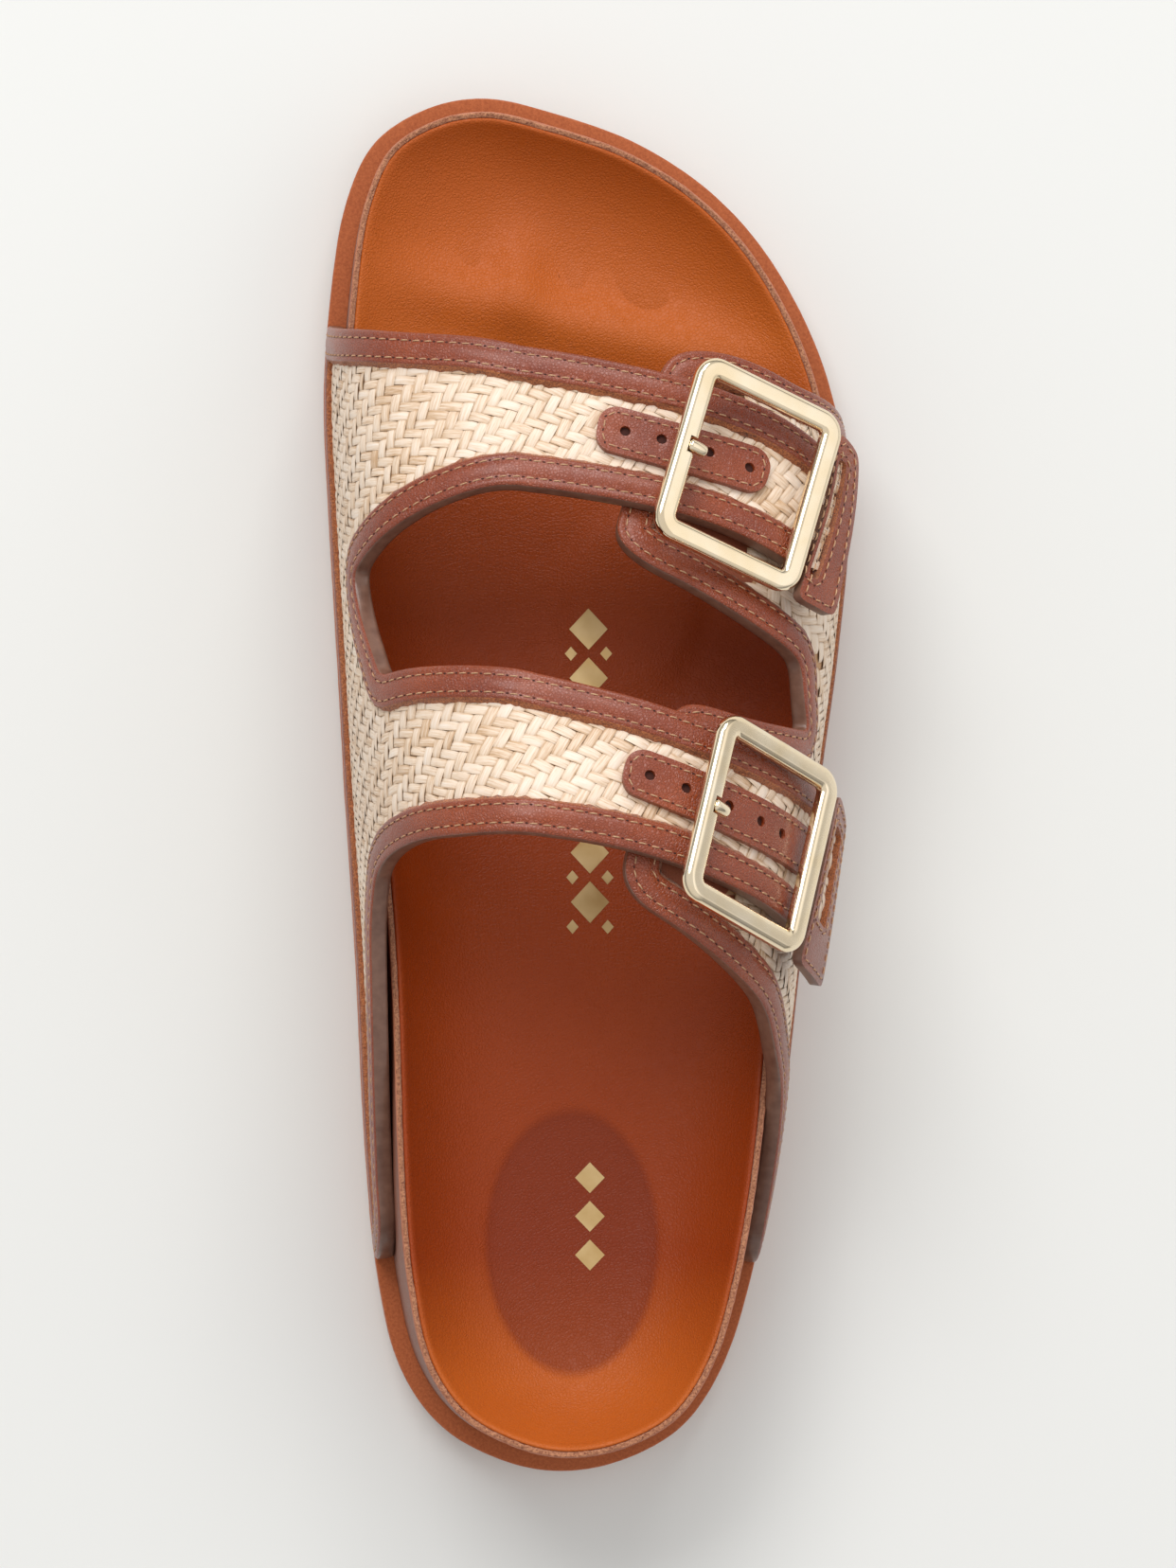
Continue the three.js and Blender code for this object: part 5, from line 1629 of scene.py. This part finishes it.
def settle(piece, name, matrix, finish):
    """Names a finished primitive and puts its place into its mesh."""
    piece.name = name
    piece.data.name = name
    piece.data.transform(matrix @ piece.matrix_world)
    piece.matrix_world = Matrix.Identity(4)
    piece.data.materials.clear()
    piece.data.materials.append(finish)
    piece.data.shade_smooth()
    apply_modifier(piece, "flat faces first", "WEIGHTED_NORMAL", weight=80)
    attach(piece, "root")
    return piece


INNER_BAR = -FRAME_LENGTH / 2 + FRAME_BAR / 2
PRONG_HEIGHT = 0.75
BAR_ROUND = 1.25
NOTCH_HALF = 2.4
NOTCH_RADIUS = PRONG_WIDTH * 0.66
NOTCH_ROUND = 0.18
# The prong's line: place over the frame's bar, in bars, height, and share of its thickness
PRONG_PATH = [
    (0.02, 0.1, 0.05), (0.02, 0.1, 0.95), (0.3, 0.12, 1.0), (0.75, -0.05, 1.0), (0.93, -0.3, 0.95),
    (0.98, -0.4, 0.05),
]


def buckle_frame():
    """A square frame with round corners and domed bars, its inner bar notched for the prong."""
    bpy.ops.object.select_all(action="DESELECT")
    bpy.ops.mesh.primitive_plane_add(size=1)
    piece = bpy.context.object
    piece.scale = (FRAME_LENGTH * MM, FRAME_WIDTH * MM, 1)
    bpy.ops.object.transform_apply(location=False, rotation=False, scale=True)
    bpy.ops.object.mode_set(mode="EDIT")
    bpy.ops.mesh.select_all(action="SELECT")
    bpy.ops.mesh.bevel(offset=FRAME_CORNER * MM, segments=12, affect="VERTICES")
    bpy.ops.mesh.select_all(action="SELECT")
    bpy.ops.mesh.inset(thickness=FRAME_BAR * MM, depth=0)
    bpy.ops.mesh.delete(type="FACE")
    bpy.ops.mesh.select_all(action="SELECT")
    bpy.ops.mesh.extrude_region_move(TRANSFORM_OT_translate={"value": (0, 0, FRAME_DEPTH * MM)})
    bpy.ops.mesh.select_all(action="SELECT")
    bpy.ops.transform.translate(value=(0, 0, -FRAME_DEPTH * MM / 2))
    bpy.ops.mesh.normals_make_consistent(inside=False)
    bpy.ops.object.mode_set(mode="OBJECT")
    apply_modifier(
        piece, "round bar", "BEVEL", width=BAR_ROUND * MM, segments=7, limit_method="ANGLE",
        angle_limit=math.radians(60),
    )
    bpy.ops.object.mode_set(mode="EDIT")
    for y in (-NOTCH_HALF, NOTCH_HALF):
        bpy.ops.mesh.select_all(action="SELECT")
        bpy.ops.mesh.bisect(plane_co=(0, y * MM, 0), plane_no=(0, 1, 0))
    bpy.ops.object.mode_set(mode="OBJECT")
    bpy.ops.mesh.primitive_cylinder_add(
        vertices=40, radius=NOTCH_RADIUS * MM, depth=FRAME_BAR * MM, rotation=(0, math.pi / 2, 0),
        location=((INNER_BAR + FRAME_BAR * 0.5) * MM, 0, (PRONG_HEIGHT + 0.3) * MM),
    )
    cutter = bpy.context.object
    apply_modifier(piece, "notch", "BOOLEAN", operation="DIFFERENCE", object=cutter, solver="EXACT")
    bpy.data.objects.remove(cutter)
    apply_modifier(
        piece, "softened notch", "BEVEL", width=NOTCH_ROUND * MM, segments=2, limit_method="ANGLE",
        angle_limit=math.radians(40),
    )
    return piece


def prong():
    """A short round prong in the inner bar's notch, its tip bent down into the strap."""
    bpy.ops.object.select_all(action="DESELECT")
    curve = bpy.data.curves.new("prong", "CURVE")
    curve.dimensions = "3D"
    curve.bevel_depth = PRONG_WIDTH / 2 * MM
    curve.bevel_resolution = 6
    curve.use_fill_caps = True
    spline = curve.splines.new("NURBS")
    spline.points.add(len(PRONG_PATH) - 1)
    for point, (x, z, radius) in zip(spline.points, PRONG_PATH):
        point.co = ((INNER_BAR + x * FRAME_BAR) * MM, 0, (PRONG_HEIGHT + z) * MM, 1)
        point.radius = radius
    spline.use_endpoint_u = True
    spline.order_u = 3
    spline.resolution_u = 8
    made = bpy.data.objects.new("prong", curve)
    bpy.context.scene.collection.objects.link(made)
    made.select_set(True)
    bpy.context.view_layer.objects.active = made
    bpy.ops.object.convert(target="MESH")
    return bpy.context.object


for place, data in FRAMES.items():
    matrix = frame_matrix(data)
    settled = settle(buckle_frame(), f"buckle_{place}", matrix, GOLD)
    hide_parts(f"buckle_frame_{place}")
    tip = settle(prong(), f"prong_{place}", matrix, GOLD)
    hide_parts(f"buckle_prong_{place}")


# Lozenges of foil: width, length, places across the cup, places along it
FOIL_ROWS = [
    (7.0, 7.6, (0.0,), (28.0, 19.0, -13.0, -22.0)),
    (2.2, 2.6, (-3.2, 3.2), (23.5, 14.5, -8.5, -17.5, -26.5)),
    (5.4, 5.6, (0.0,), (-72.0, -79.0, -86.0)),
]
FOIL_PROUD = 0.06


def foil_ornament():
    """Plain lozenges of gold foil down the middle of the cup, stamped onto its surface."""
    bpy.context.view_layer.update()
    shapes = []
    for width, length, across, along in FOIL_ROWS:
        corners = [(0, length / 2), (width / 2, 0), (0, -length / 2), (-width / 2, 0)]
        shapes += [((x, y), corners) for y in along for x in across]
    points, faces = [], []
    grid = 6
    for (x, y), corners in shapes:
        start = len(points)
        for r in range(grid + 1):
            for c in range(grid + 1):
                u, v = r / grid, c / grid
                px = x + mix(mix(corners[0][0], corners[1][0], u), mix(corners[3][0], corners[2][0], u), v)
                py = y + mix(mix(corners[0][1], corners[1][1], u), mix(corners[3][1], corners[2][1], u), v)
                _, spot, normal, _ = cup.ray_cast(Vector((px * MM, py * MM, 0.2)), Vector((0, 0, -1)))
                points.append(np.array(spot + normal * (FOIL_PROUD * MM)) / MM)
        for r in range(grid):
            for c in range(grid):
                a = start + r * (grid + 1) + c
                faces.append((a, a + grid + 1, a + grid + 2, a + 1))
    piece = make_piece("foil_lozenges", points, faces, [FOIL])
    if sum(face.normal.z for face in piece.data.polygons) < 0:
        piece.data.flip_normals()


foil_ornament()

# Camera: 1.25 m above the sandal, 3 degrees to its inner side and 2.2 to its heel
VIEW_DISTANCE = 1.25
VIEW_TARGET = Vector((0, 0, 0.01))
VIEW_BACK = Vector((-math.sin(math.radians(3.0)), -math.sin(math.radians(2.2)), 1)).normalized()
VIEW_SHIFT = 0.00035
VIEW_LENS = 156.14

camera_data = bpy.data.cameras.new("camera")
camera = bpy.data.objects.new("camera", camera_data)
bpy.context.scene.collection.objects.link(camera)
right = Vector((0, 1, 0)).cross(VIEW_BACK).normalized()
up = VIEW_BACK.cross(right)
turned = Matrix((right, up, VIEW_BACK)).transposed().to_4x4()
turned.translation = VIEW_TARGET + VIEW_BACK * VIEW_DISTANCE + right * VIEW_SHIFT
camera.matrix_world = turned
camera_data.lens = VIEW_LENS
camera_data.clip_start = 0.05
camera_data.clip_end = 20
bpy.context.scene.camera = camera


def soft_light(name, place, size, power):
    """A white square softbox that faces the sandal."""
    data = bpy.data.lights.new(name, "AREA")
    data.size = size
    data.energy = power
    light = bpy.data.objects.new(name, data)
    bpy.context.scene.collection.objects.link(light)
    light.location = place
    light.rotation_euler = (Vector((0, 0, 0.02)) - Vector(place)).to_track_quat("-Z", "Y").to_euler()


# The toe light shapes the cup, the key light glances off the bindings, the panel off the frames
soft_light("toe light", (0.25, 1.6, 1.1), 0.8, 12)
soft_light("key light", (-0.5, 1.05, 1.4), 0.85, 14)
soft_light("right panel", (1.6, 0.2, 0.8), 1.8, 4)

# A white room, darker at the level of the floor than overhead
world = bpy.data.worlds.new("studio")
world.use_nodes = True
sky = world.node_tree
direction = add_node(sky, "ShaderNodeTexCoord")
parts = add_node(sky, "ShaderNodeSeparateXYZ", {"Vector": (direction, "Generated")})
height = add_node(
    sky, "ShaderNodeMapRange",
    {"Value": (parts, "Z"), "From Min": 0.02, "From Max": 0.5, "To Min": 0.2, "To Max": 0.75},
)
sky.links.new(height.outputs["Result"], sky.nodes["Background"].inputs["Strength"])
sky.nodes["Background"].inputs["Color"].default_value = hex_colour("#ffffff")
bpy.context.scene.world = world
bpy.context.scene.view_settings.view_transform = "Standard"

bpy.ops.object.select_all(action="DESELECT")
bpy.ops.mesh.primitive_plane_add(size=8)
floor = bpy.context.object
floor.name = "floor"
floor.data.materials.append(plain("studio paper", "#dcdcd9", "#e0e0dd", 0.9, 900))
